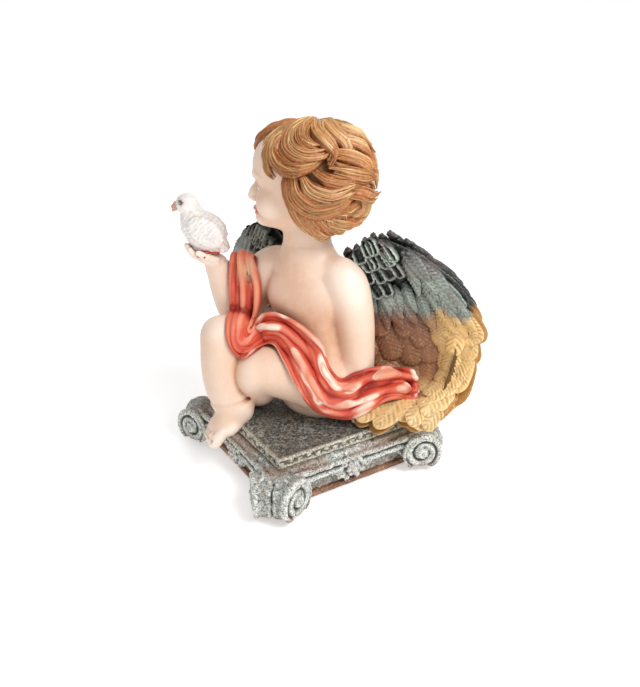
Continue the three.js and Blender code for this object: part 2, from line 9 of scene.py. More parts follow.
import bpy
import numpy as np
import openvdb as vdb
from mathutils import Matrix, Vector


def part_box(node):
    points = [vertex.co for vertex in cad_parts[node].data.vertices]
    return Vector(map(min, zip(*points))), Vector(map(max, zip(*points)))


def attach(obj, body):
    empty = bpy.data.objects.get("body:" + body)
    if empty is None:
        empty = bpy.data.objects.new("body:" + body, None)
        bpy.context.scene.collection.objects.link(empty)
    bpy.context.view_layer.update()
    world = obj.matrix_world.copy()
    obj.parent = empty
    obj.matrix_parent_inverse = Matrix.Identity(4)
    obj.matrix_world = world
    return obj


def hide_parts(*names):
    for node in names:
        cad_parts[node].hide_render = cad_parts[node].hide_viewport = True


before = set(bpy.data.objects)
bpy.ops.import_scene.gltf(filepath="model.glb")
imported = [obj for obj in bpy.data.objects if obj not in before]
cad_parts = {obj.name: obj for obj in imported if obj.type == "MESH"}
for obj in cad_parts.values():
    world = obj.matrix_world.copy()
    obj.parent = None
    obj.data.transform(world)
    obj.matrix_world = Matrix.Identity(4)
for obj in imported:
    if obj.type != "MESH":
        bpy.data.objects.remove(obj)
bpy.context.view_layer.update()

MM = 0.001
SLAB_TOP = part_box("abacus_slab")[1][2] / MM
DETAIL = 1.0  # a coarser grid while trying things
UP = np.array([0.0, 0.0, 1.0])


# ---------------------------------------------------------------- numbers and noise
def unit(v):
    v = np.asarray(v, float)
    return v / np.maximum(np.linalg.norm(v, axis=-1, keepdims=True), 1e-9)


def ramp(x, low, high):
    """0 below low, 1 above high, and smooth between them."""
    t = np.clip((np.asarray(x, float) - low) / (high - low), 0, 1)
    return t * t * (3 - 2 * t)


def mix(a, b, share):
    share = np.asarray(share)[..., None] if np.ndim(a) and np.ndim(share) else share
    return np.asarray(a) * (1 - share) + np.asarray(b) * share


def noise(p, size, seed=0):
    """Smooth noise from -1 to 1 at points p, whose lumps are about size mm across."""
    table = np.random.default_rng(seed).random(4096).astype(np.float32) * 2 - 1
    q = np.asarray(p, np.float32) / size + 1000
    base = np.floor(q).astype(np.int64)
    f = q - base
    f = f * f * (3 - 2 * f)
    total = 0
    for dx in (0, 1):
        for dy in (0, 1):
            for dz in (0, 1):
                i = (base[..., 0] + dx) * 73856093
                i = i ^ (base[..., 1] + dy) * 19349663 ^ (base[..., 2] + dz) * 83492791
                w = np.abs(1 - dx - f[..., 0]) * np.abs(1 - dy - f[..., 1]) * np.abs(1 - dz - f[..., 2])
                total = total + w * table[i & 4095]
    return total


def spline(points, count):
    """count points along a smooth line through the rows of points, whatever the rows hold."""
    p = np.asarray(points, float)
    p = np.vstack([2 * p[0] - p[1], p, 2 * p[-1] - p[-2]])
    t = np.linspace(0, len(p) - 3 - 1e-9, count)
    i = t.astype(int)
    f = (t - i)[:, None]
    a, b, c, d = p[i], p[i + 1], p[i + 2], p[i + 3]
    return 0.5 * (2 * b + (c - a) * f + (2 * a - 5 * b + 4 * c - d) * f**2 + (3 * b - a - 3 * c + d) * f**3)


# ---------------------------------------------------------------- clay: solid shapes with soft joins
class Clay:
    """A solid on a grid of distances to its surface, built up by adding and cutting rounded shapes."""

    def __init__(self, low, high, step):
        self.low, self.step = np.array(low, float), step * DETAIL
        self.shape = tuple(int(math.ceil((h - l) / self.step)) + 1 for l, h in zip(low, high))
        self.d = np.full(self.shape, 7.0, np.float32)

    def window(self, low, high):
        first = np.clip(np.floor((np.array(low) - self.low) / self.step).astype(int), 0, self.shape)
        last = np.clip(np.ceil((np.array(high) - self.low) / self.step).astype(int) + 1, 0, self.shape)
        cells = tuple(slice(a, b) for a, b in zip(first, last))
        axes = [(self.low[n] + self.step * np.arange(first[n], last[n])).astype(np.float32)
            for n in range(3)]
        return cells, np.stack(np.meshgrid(*axes, indexing="ij"), -1)

    def add(self, shape, soft=0.0, sign=1):
        low, high, distance = shape
        reach = 2 * soft + 3 * self.step
        cells, p = self.window(np.array(low) - reach, np.array(high) + reach)
        self.d[cells] = sign * soft_min(sign * self.d[cells], distance(p), soft)

    def cut(self, shape, soft=0.0):
        self.add(shape, soft, sign=-1)

    def blank(self):
        """An empty clay on the same grid."""
        other = object.__new__(Clay)
        other.low, other.step, other.shape = self.low, self.step, self.shape
        other.d = np.full(self.shape, 7.0, np.float32)
        return other

    def everywhere(self):
        return self.window(self.low, self.low + self.step * (np.array(self.shape) - 1))[1]

    def at(self, field, p):
        """The grid's field, read between its cells at points p."""
        q = np.clip((p - self.low) / self.step, 0, np.array(self.shape) - 1.001)
        i = q.astype(int)
        f = q - i
        total = 0
        for dx in (0, 1):
            for dy in (0, 1):
                for dz in (0, 1):
                    w = np.abs(1 - dx - f[:, 0]) * np.abs(1 - dy - f[:, 1]) * np.abs(1 - dz - f[:, 2])
                    total = total + w * field[i[:, 0] + dx, i[:, 1] + dy, i[:, 2] + dz]
        return total

    def hollow(self, p, reach):
        """How far points p on the surface lie in a hollow (towards 1) or on a ridge (towards 0)."""
        field = np.clip(0.5 - self.d / self.step, 0, 1)
        n = max(1, int(reach / self.step))
        for axis in range(3):
            for _ in range(2):
                padded = np.pad(field, [(n + 1, n) if a == axis else (0, 0) for a in range(3)], mode="edge")
                total = np.cumsum(padded, axis=axis, dtype=np.float32)
                lead = [slice(None)] * 3
                trail = [slice(None)] * 3
                lead[axis], trail[axis] = slice(2 * n + 1, None), slice(None, -2 * n - 1)
                field = (total[tuple(lead)] - total[tuple(trail)]) / (2 * n + 1)
        return self.at(field, p)

    def surface(self):
        band = 3 * self.step
        grid = vdb.FloatGrid(band)
        grid.copyFromArray(np.clip(self.d, -band, band).astype(np.float32), tolerance=1e-6)
        points, quads = grid.convertToQuads(isovalue=0.0)
        return points * self.step + self.low, quads


def soft_min(a, b, soft):
    if soft <= 0:
        return np.minimum(a, b)
    h = np.clip(0.5 + 0.5 * (b - a) / soft, 0, 1)
    return b + (a - b) * h - soft * h * (1 - h)


def bar(a, b, ra, rb=None):
    """A rounded bar from a to b whose radius runs from ra to rb."""
    a, b = np.array(a, np.float32), np.array(b, np.float32)
    rb = ra if rb is None else rb
    ab = b - a
    r = max(ra, rb)

    def distance(p):
        t = np.clip((p - a) @ ab / max(float(ab @ ab), 1e-9), 0, 1)
        return np.linalg.norm(p - a - t[..., None] * ab, axis=-1) - (ra + (rb - ra) * t)

    return np.minimum(a, b) - r, np.maximum(a, b) + r, distance


def egg(centre, radii, axes=None):
    """An ellipsoid whose radii lie along the rows of axes."""
    centre, radii = np.array(centre, np.float32), np.array(radii, np.float32)
    turn = np.eye(3, dtype=np.float32) if axes is None else np.array(axes, np.float32)
    r = float(radii.max())

    def distance(p):
        q = (p - centre) @ turn.T
        k0 = np.linalg.norm(q / radii, axis=-1)
        k1 = np.linalg.norm(q / radii**2, axis=-1)
        return k0 * (k0 - 1) / np.maximum(k1, 1e-6)

    return centre - r, centre + r, distance


def limb(clay, stations, soft, inner=2.5):
    """Bars through stations of (x, y, z, radius), joined smoothly to the clay and to each other."""
    s = spline(stations, 3 * len(stations))
    for n, (a, b) in enumerate(zip(s, s[1:])):
        clay.add(bar(a[:3], b[:3], a[3], b[3]), soft if n == 0 else min(inner, soft))


# ---------------------------------------------------------------- meshes
def make_mesh(name, points, quads, paint=None, material=None, triangles=()):
    """A smooth mesh object from millimetres above the slab, with its paint kept at its points."""
    points = np.asarray(points, float) + [0, 0, SLAB_TOP]
    quads = np.asarray(quads, np.int32).reshape(-1, 4)
    triangles = np.asarray(triangles, np.int32).reshape(-1, 3)
    loops = np.concatenate([quads.ravel(), triangles.ravel()])
    starts = np.concatenate([np.arange(len(quads)) * 4, quads.size + np.arange(len(triangles)) * 3])
    mesh = bpy.data.meshes.new(name)
    mesh.vertices.add(len(points))
    mesh.vertices.foreach_set("co", (points * MM).astype(np.float32).ravel())
    mesh.loops.add(len(loops))
    mesh.loops.foreach_set("vertex_index", loops)
    mesh.polygons.add(len(starts))
    mesh.polygons.foreach_set("loop_start", starts.astype(np.int32))
    mesh.polygons.foreach_set("use_smooth", np.full(len(starts), True))
    mesh.update(calc_edges=True)
    mesh.validate()
    if paint is not None:
        rgba = np.ones((len(points), 4), np.float32)
        rgba[:, :3] = np.clip(paint, 0, 1)
        mesh.attributes.new("paint", "FLOAT_COLOR", "POINT").data.foreach_set("color", rgba.ravel())
    mesh.materials.append(material)
    ob = bpy.data.objects.new(name, mesh)
    bpy.context.scene.collection.objects.link(ob)
    return ob


def place(ob, slot, *nodes):
    """ob is part of the one rigid body and stands for nodes. slot is not used."""
    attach(ob, "root")
    if nodes:
        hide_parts(*nodes)
    return ob


def facing_out(points, faces):
    """faces turned so that the closed mesh has a positive volume."""
    a, b, c = (points[faces[:, n]] for n in range(3))
    turned = np.einsum("ij,ij->i", a, np.cross(b, c)).sum() < 0
    return faces[:, ::-1] if turned else faces


def clay_mesh(clay):
    points, quads = clay.surface()
    return points, facing_out(points, quads)


class Sheets:
    """Closed sweeps gathered into one mesh."""

    def __init__(self):
        self.points, self.faces, self.paint, self.count = [], [], [], 0

    def add(self, grid, paint):
        """grid is rows x ring x 3 points of a closed tube, whose first and last rows shrink to tips."""
        rows, ring = grid.shape[:2]
        tips = np.stack([grid[0].mean(0), grid[-1].mean(0)])
        points = np.vstack([grid.reshape(-1, 3), tips])
        i = np.arange(rows - 1)[:, None] * ring + np.arange(ring)[None]
        j = np.arange(rows - 1)[:, None] * ring + (np.arange(ring)[None] + 1) % ring
        quads = np.stack([i, j, j + ring, i + ring], -1).reshape(-1, 4)
        k = np.arange(ring)
        last = (rows - 1) * ring
        head = np.stack([(k + 1) % ring, k, np.full(ring, rows * ring), np.full(ring, rows * ring)], -1)
        tail = np.stack([k + last, (k + 1) % ring + last, np.full(ring, rows * ring + 1),
            np.full(ring, rows * ring + 1)], -1)
        self.points.append(points)
        self.faces.append(np.vstack([quads, head, tail]) + self.count)
        flat = paint.reshape(-1, 3)
        self.paint.append(np.vstack([flat, paint[0].mean(0), paint[-1].mean(0)]))
        self.count += len(points)

    def build(self, name, material):
        points, faces, paint = np.vstack(self.points), np.vstack(self.faces), np.vstack(self.paint)
        quads = faces[faces[:, 2] != faces[:, 3]]
        triangles = faces[faces[:, 2] == faces[:, 3]][:, :3]
        return make_mesh(name, points, quads, paint, material, triangles)


# ---------------------------------------------------------------- paints
CREAM_AND_HIGHLIGHT = np.array([0.92, 0.80, 0.70])
SKIN = np.array([0.80, 0.57, 0.43])
SKIN_BLUSH_AND_SHADE = np.array([0.60, 0.25, 0.10])
SKIN_PAINTED_SHADE = np.array([0.36, 0.14, 0.075])


# ---------------------------------------------------------------- the cherub's skin
LEFT = np.array([0.891, 0.454, 0.0])  # the chest's own left and front
FRONT = np.array([0.454, -0.891, 0.0])
HEAD_TURN = math.radians(-39)
HEAD = np.array([-4.2, 2.9, 88.4])
HEAD_AXES = np.array([
    [math.cos(HEAD_TURN), math.sin(HEAD_TURN), 0],
    [-math.sin(HEAD_TURN), math.cos(HEAD_TURN), 0],
    [0, 0, 1],
])  # rows: the head's left, its back and up


def on_head(*local):
    """A point given as millimetres to the head's left, to its back and up, from the middle of the skull."""
    return HEAD + np.array(local, float) @ HEAD_AXES


def to_head(p):
    return (p - HEAD) @ HEAD_AXES.T


TORSO = np.array([  # height, middle x and y, half width, half depth
    [-2, 1.0, 5.2, 13.0, 11.5], [4, 0.6, 5.0, 16.2, 13.4], [12, 0.3, 4.7, 16.6, 13.4],
    [21, -0.2, 4.5, 15.4, 12.8],
    [30, -1.0, 4.2, 14.3, 11.8], [38, -2.0, 3.9, 14.6, 11.0], [46, -2.9, 3.7, 15.6, 10.6],
    [52, -3.4, 3.5, 15.2, 9.8],
    [57, -3.8, 3.3, 12.2, 8.6], [61, -4.0, 3.1, 8.5, 7.6],
])


def torso_shape():
    def distance(p):
        z = p[..., 2]
        cx, cy, wide, deep = (np.interp(z, TORSO[:, 0], TORSO[:, n]) for n in (1, 2, 3, 4))
        q = np.stack([p[..., 0] - cx, p[..., 1] - cy, np.zeros_like(z)], -1)
        k = np.sqrt((q @ LEFT / wide) ** 2 + (q @ FRONT / deep) ** 2)
        side = (k - 1) * np.minimum(wide, deep)
        ends = np.maximum(-1.5 - z, z - 60)
        return -soft_min(-side, -ends, 5.0)

    return np.array([-24, -12, -3.0]), np.array([20, 22, 62.0]), distance


def chest(side, out, up):
    """A point on or near the torso: millimetres to the chest's left, to its front, and up from the slab."""
    cx, cy = (np.interp(up, TORSO[:, 0], TORSO[:, n]) for n in (1, 2))
    return np.array([cx, cy, up]) + LEFT * side + FRONT * out


TURNED = np.array([LEFT, FRONT, UP])
ARM_LEFT = [(9.5, 8.6, 54.5, 5.2), (11.2, 10.2, 50, 6.9), (12.2, 11.8, 43, 6.7), (12.9, 12.8, 36, 6.3),
    (13.2, 13.3, 29, 6.0),
            (13.8, 13.6, 20, 5.7), (14.6, 13.8, 11, 4.7), (15.4, 13.6, 5, 4.1)]
ARM_RIGHT_UPPER = [(-15.5, -2.2, 55.2, 5.0), (-18.2, -5.2, 52, 6.5), (-20.4, -9, 46, 6.3),
    (-22.8, -13, 39.2, 6.2),
                   (-24.6, -16.3, 33.8, 5.9)]
ARM_RIGHT_LOWER = [(-24.6, -16.2, 34.2, 5.9), (-25.4, -17.6, 39, 6.2), (-26.1, -19.4, 45, 5.7),
    (-26.6, -21.4, 51, 4.6),
                   (-26.8, -22.8, 54.6, 3.9)]
LEG_RIGHT_UPPER = [(-5, 9, 11.5, 8.5), (-8.6, 2, 12.6, 10.2), (-11, -9, 18.5, 9.2), (-12.8, -19, 25, 7.9),
    (-13.4, -26, 30, 7.2)]
LEG_RIGHT_LOWER = [(-13.4, -27.6, 31.2, 7.4), (-12.8, -28.8, 25, 7.2), (-11.2, -29.4, 18, 7.3),
    (-8.8, -29.6, 11.5, 6.8),
                   (-6.6, -29.2, 6.5, 6.2)]
LEG_LEFT_UPPER = [(11, 9, 10.6, 8.8), (8.6, 1, 12.8, 9.4), (4.8, -7, 16, 8.4), (0.4, -14.4, 18.4, 7.8),
    (-3.0, -18.6, 19.6, 7.5)]
LEG_LEFT_LOWER = [(-2.8, -18.8, 18.2, 8), (-5.6, -17.6, 12.6, 7.6), (-9.2, -16.6, 8.4, 6.6),
    (-13.4, -16.6, 5.4, 4.8)]


def hand_left(clay):
    clay.add(egg((15.8, 13.4, 2.9), (4.6, 4.3, 2.5)), 2.0)
    for n, (bend, length) in enumerate([(-0.62, 4.6), (-0.36, 5.0), (-0.1, 4.8), (0.16, 4.2)]):
        root = np.array([17.8 - 0.5 * n, 10.2 + 2.0 * n, 2.3])
        way = np.array([math.cos(bend), math.sin(bend), 0])
        middle = root + way * length * 0.55 + [0, 0, 0.7]
        tip = root + way * length + [0, 0, -0.9]
        clay.add(bar(root, middle, 1.35, 1.25), 0.8)
        clay.add(bar(middle, tip, 1.25, 1.1), 0.3)
    clay.add(bar((14.4, 10.2, 3.0), (16.4, 6.4, 1.6), 1.6, 1.2), 0.9)


def hand_right(clay):
    axes = np.array([unit([0.94, -0.34, 0.0]), unit([-0.3, -0.84, 0.44]), unit([0.15, 0.41, 0.9])])
    clay.add(egg((-26.9, -26.2, 57.0), (4.6, 5.2, 2.3), axes), 1.8)
    for n, length in enumerate((5.4, 6.4, 6.2, 5.0)):
        root = np.array([-24.6 - 1.75 * n, -29.4 + 0.45 * n, 58.0 + 0.15 * n])
        way = unit([-0.16, -0.8, 0.42])
        middle = root + way * length * 0.55
        tip = middle + unit([-0.1, -0.55, 0.9]) * length * 0.5
        clay.add(bar(root, middle, 1.25, 1.15), 0.7)
        clay.add(bar(middle, tip, 1.15, 0.95), 0.3)
    clay.add(bar((-23.2, -24.4, 56.6), (-22.0, -28.6, 59.0), 1.7, 1.3), 1.0)
    clay.add(bar((-22.0, -28.6, 59.0), (-22.6, -31.4, 60.6), 1.3, 1.05), 0.4)


def foot(clay, heel, way, inner, drop, size=1.0, long=1.0):
    """A foot from its heel: way is where the toes point, inner the big toe's side, drop their sag."""
    way, inner = unit(way), unit(inner)
    axes = np.array([inner, way, unit(np.cross(inner, way))])
    heel = np.array(heel, float)
    clay.add(egg(heel, (4.2 * size, 4.6 * size, 4.2 * size), axes), 1.8)
    clay.add(bar(heel + [0, 0, 1.6 * size], heel + way * 6.5 * size * long + [0, 0, 0.4 - drop * 0.3],
        4.4 * size, 3.3 * size), 2.0)
    ball = heel + way * 9.0 * size * long + [0, 0, -drop * 0.6]
    clay.add(egg(ball, (5.2 * size, 4.4 * size, 2.8 * size), axes), 2.0)
    toes = ((3.5, 4.6, 1.75), (0.9, 4.7, 1.25), (-1.2, 4.2, 1.15), (-3.0, 3.3, 1.05), (-4.5, 2.1, 0.98))
    for across, ahead, r in toes:
        root = ball + inner * across * size * 0.92 + way * (ahead - 2.4) * size
        tip = ball + inner * across * size + way * (ahead + 0.5) * size + [0, 0, -drop * 0.3 - 0.7]
        clay.add(bar(root, tip, r * size * 0.9, r * size), 0.45)
        nail = tip + way * r * 0.62 * size + UP * r * 0.62 * size
        clay.cut(egg(nail, (r * 0.5 * size, r * 0.5 * size, r * 0.3 * size), axes), 0.15)


def sculpt_body():
    clay = Clay((-37, -47, -5), (29, 23, 70), 0.42)
    clay.add(torso_shape())
    clay.add(egg(chest(0, 5.2, 20), (11.5, 8.6, 11), TURNED), 5)  # belly
    for side in (-1, 1):
        clay.add(egg(chest(side * 6.0, 6.0, 45), (7.4, 4.4, 6.4), TURNED), 6)  # chest
        clay.add(egg(chest(side * 7.6, -6.6, 45), (5.6, 4.6, 7), TURNED), 4)  # shoulder blades
        clay.add(egg(chest(side * 7.4, -5.6, 7.5), (8.2, 8.6, 8.2), TURNED), 3.5)  # seat
        clay.add(bar(chest(side * 3, -0.4, 58.5), chest(side * 13.4, -0.6, 54), 5.4, 5.2), 4)  # shoulders
        clay.add(bar(chest(side * 2.6, 6.6, 55.4), chest(side * 11, 4.4, 55.6), 1.0, 0.8),
            3.4)  # collar bones
    clay.cut(bar(chest(0, -12.4, 18), chest(0, -12.2, 48), 0.9, 0.8), 3.2)  # spine
    clay.cut(bar(chest(0, -15.6, -1), chest(0, -13.6, 10), 0.8, 0.5), 1.4)
    clay.cut(bar((-1.9, 11.5 - 15.6, 57.6), (-2.4, 11.5 - 15.2, 58.6), 0.5, 0.4), 1.4)
    clay.add(bar((-3.9, 3.2, 55), HEAD + [0.1, 0.4, -17], 8.8, 8.6), 4.5)  # neck
    limb(clay, ARM_LEFT, 3.0)
    limb(clay, ARM_RIGHT_UPPER, 3.0)
    limb(clay, ARM_RIGHT_LOWER, 1.2)
    limb(clay, LEG_RIGHT_UPPER, 3.0)
    limb(clay, LEG_RIGHT_LOWER, 1.6)
    clay.add(egg((-13.6, -29.8, 31.6), (6.0, 5.6, 6.2)), 2.5)  # knee
    clay.add(egg((-11.0, -25.6, 19), (6.0, 5.6, 8)), 2.5)  # calves
    leg = clay.blank()  # the left leg presses against the right one, with a crease between them
    limb(leg, LEG_LEFT_UPPER, 2.5)
    limb(leg, LEG_LEFT_LOWER, 1.2)
    leg.add(egg((-2.4, -21.6, 18.2), (7.2, 6.8, 8.0)), 2.0)
    foot(leg, (-14.2, -16.4, 4.4), (-0.86, -0.48, -0.1), (0.45, -0.88, 0.0), 1.2, 0.88)
    place_y = (clay.low[1] + clay.step * np.arange(clay.shape[1]))[None, :, None]
    soft = (0.4 + 3.2 * ramp(place_y, -11, -2)).astype(np.float32)
    h = np.clip(0.5 + 0.5 * (leg.d - clay.d) / soft, 0, 1)
    clay.d = (leg.d + (clay.d - leg.d) * h - soft * h * (1 - h)).astype(np.float32)
    hand_left(clay)
    hand_right(clay)
    foot(clay, (-4.6, -27.6, 3.6), (0.02, -0.96, -0.24), (0.99, 0.02, 0.0), 4.2, 1.34, 0.45)
    ring = [(-6.9 + 7.4 * math.cos(a), -29.4 + 7.4 * math.sin(a), 8.8 + 0.9 * math.sin(a))
        for a in np.linspace(0, 2 * math.pi, 25)]
    for a, b in zip(ring, ring[1:]):
        clay.cut(bar(a, b, 0.4), 1.2)
    for z, arm in ((55.6, (-26.8, -23.2)), (8.6, (14.9, 13.7))):
        rim = [(arm[0] + 4.5 * math.cos(a), arm[1] + 4.3 * math.sin(a),
            z + (0.8 if z > 20 else 0.2) * math.cos(a)) for a in np.linspace(0, 2 * math.pi, 21)]
        for a, b in zip(rim, rim[1:]):
            clay.cut(bar(a, b, 0.22), 0.7)
    return clay


def sculpt_head():
    clay = Clay(HEAD - [19, 21, 30], HEAD + [17, 19, 17], 0.25)

    def lump(centre, radii, soft):
        clay.add(egg(on_head(*centre), radii, HEAD_AXES), soft)

    def line(points, soft, cut=False):
        """A smooth bar through (left, back, up, radius) stations of the head."""
        s = spline(points, 4 * len(points))
        for a, b in zip(s, s[1:]):
            shape = bar(on_head(*a[:3]), on_head(*b[:3]), a[3], b[3])
            clay.cut(shape, soft) if cut else clay.add(shape, soft)

    lump((0, 0.4, 0), (15.4, 16.8, 16.4), 0)
    clay.add(bar((-3.9, 3.2, 55), HEAD + [0.1, 0.4, -17], 8.8, 8.6), 3.0)
    lump((0, -8.0, -8.4), (12.0, 9.2, 9.8), 3.5)  # jaw
    lump((0, -10.2, 3.4), (11.2, 7.8, 9.2), 4.0)  # forehead
    for side in (-1, 1):
        lump((side * 6.8, -11.0, -9.6), (5.2, 5.0, 5.0), 3.0)  # cheeks
        clay.cut(egg(on_head(side * 5.5, -17.9, -3.4), (3.5, 2.2, 2.3), HEAD_AXES), 2.4)  # sockets
        lump((side * 5.4, -13.3, -3.9), (3.0, 2.75, 2.45), 0.4)  # eyeballs
        line([(side * 2.9, -15.5, -4.3, 0.25), (side * 4.3, -16.1, -2.7, 0.5),
            (side * 6.3, -15.6, -2.5, 0.52),
              (side * 8.2, -13.8, -4.0, 0.3)], 0.45)  # upper lids
        line([(side * 3.1, -15.5, -4.7, 0.2), (side * 4.8, -15.8, -5.9, 0.38),
            (side * 6.6, -15.2, -5.8, 0.38),
              (side * 8.1, -13.9, -4.5, 0.22)], 0.5)  # lower lids
        line([(side * 2.4, -16.3, -0.9, 0.4), (side * 5.4, -15.9, 0.6, 0.5),
            (side * 8.8, -13.6, -0.6, 0.4)], 2.2)  # brows
    lump((0, -14.4, -15.6), (4.2, 3.7, 3.0), 2.6)  # chin
    lump((0, -9.0, -16.2), (6.4, 5.6, 2.8), 2.4)
    line([(0, -15.4, -3.4, 1.0), (0, -16.4, -5.4, 1.2), (0, -18.1, -7.2, 1.5)], 2.0)  # nose
    lump((0, -19.1, -7.9), (1.8, 1.6, 1.4), 0.8)
    for side in (-1, 1):
        lump((side * 1.75, -17.9, -8.6), (1.05, 1.4, 1.0), 0.7)
        clay.cut(egg(on_head(side * 0.85, -18.9, -9.5), (0.5, 0.8, 0.5), HEAD_AXES), 0.25)
        clay.cut(egg(on_head(side * 3.5, -16.9, -12.8), (0.6, 0.8, 0.6), HEAD_AXES), 1.0)
    line([(0, -18.2, -10.2, 0.3), (0, -18.0, -11.4, 0.35)], 0.9, cut=True)
    line([(-3.3, -16.2, -12.7, 0.3), (-1.5, -17.6, -12.0, 0.72), (0, -17.7, -12.3, 0.7),
        (1.5, -17.6, -12.0, 0.72),
          (3.3, -16.2, -12.7, 0.3)], 0.6)  # lips
    line([(-2.8, -16.3, -13.2, 0.3), (-1.2, -17.1, -13.8, 0.85), (1.2, -17.1, -13.8, 0.85),
        (2.8, -16.3, -13.2, 0.3)], 0.5)
    line([(-3.0, -16.9, -12.9, 0.1), (0, -18.4, -13.0, 0.12), (3.0, -16.9, -12.9, 0.1)], 0.35, cut=True)
    return clay


def near_line(q, points, reach):
    """How close points q are to a smooth line: 1 on it and 0 beyond reach."""
    s = spline(points, 24)
    best = np.full(len(q), 1e9)
    for a, b in zip(s, s[1:]):
        ab = b[:3] - a[:3]
        t = np.clip((q - a[:3]) @ ab / max(ab @ ab, 1e-9), 0, 1)
        best = np.minimum(best, np.linalg.norm(q - a[:3] - t[:, None] * ab, axis=1))
    return 1 - ramp(best, reach * 0.5, reach)


def blush(p, centre, radius):
    return np.exp(-((np.linalg.norm(p - np.asarray(centre), axis=1) / radius) ** 2))


def skin_paint(clay, p):
    """Flesh paint, with a reddish-brown wash sprayed over the joints and into the hollows, where it stands
    as painted shade, darker painted shade deep in the hollows and cream painted highlights on the ridges.
    """
    wide = clay.hollow(p, 3.2)
    fine = clay.hollow(p, 0.9)
    cloud = noise(p, 9, 1) * 0.5 + noise(p, 4, 2) * 0.3
    # Reddish-brown wash: painted shade in the broad and fine hollows, plus airbrushed blush on the belly,
    # chest and joints.
    blush_and_shade = 0.6 * ramp(wide, 0.5, 0.78) + 0.7 * ramp(fine, 0.54, 0.72)
    blush_and_shade = blush_and_shade + 0.62 * blush(p, chest(-1, 9, 34), 15) + 0.3 * blush(p, chest(6, 8, 46), 9)
    spots = [
        (chest(-1, 11, 37), 8, 0.6), (chest(7, 10, 38), 5, 0.55), (chest(-8, 9.5, 38), 5, 0.6),
        (chest(4, 9, 30), 8, 0.45),
        (chest(12.5, 6.5, 42), 5.5, 0.55), (chest(12, 5, 34), 6, 0.5), (chest(-13, 5, 44), 6, 0.5),
        (chest(0, 8, 54), 6, 0.36), (chest(7, 10, 26), 12, 0.5), ((-12.6, -33, 33), 5, 0.34),
        ((-9, -24, 22), 7, 0.35),
        ((-5.6, -25.4, 20.4), 5, 0.36), ((-8, -24, 9), 6, 0.4), ((-7.4, -40, -2), 4.5, 0.34),
        ((-24.6, -17.4, 31), 5, 0.3),
        ((9.5, 8, 40), 5, 0.4), ((10.5, 9, 30), 5, 0.4), ((2, -12, 11), 6, 0.4), ((13, 13, 30), 4.5, 0.22),
        ((17.5, 12, 2), 5, 0.3), ((-27.5, -30, 58), 4.5, 0.3), (chest(0, -12.6, 30), 9, 0.35),
        (chest(0, -10, 56), 7, 0.3), ((-4, -1, 62), 6, 0.3),
    ]
    for centre, radius, strength in spots:
        blush_and_shade = blush_and_shade + 1.25 * strength * blush(p, centre, radius)
    blush_and_shade = np.tanh(0.85 * np.maximum(blush_and_shade * (1 + 0.35 * cloud), 0))
    # Painted highlights: cream on the ridges and on the near shoulder, with pale mottling in clouds.
    high = ramp(-wide, -0.47, -0.3) * 0.75 + 0.25 * ramp(cloud, 0.0, 0.5) + 0.6 * blush(p, (15, 7, 48), 9)
    paint = mix(SKIN, CREAM_AND_HIGHLIGHT, np.clip(high, 0, 1))
    paint = mix(paint, SKIN_BLUSH_AND_SHADE, 0.66 * blush_and_shade)
    # Painted shade: darker brown deep in the hollows.
    paint = mix(paint, SKIN_PAINTED_SHADE, 0.3 * ramp(wide, 0.52, 0.72) + 0.35 * ramp(fine, 0.62, 0.8))
    return np.clip(paint, 0, 1)


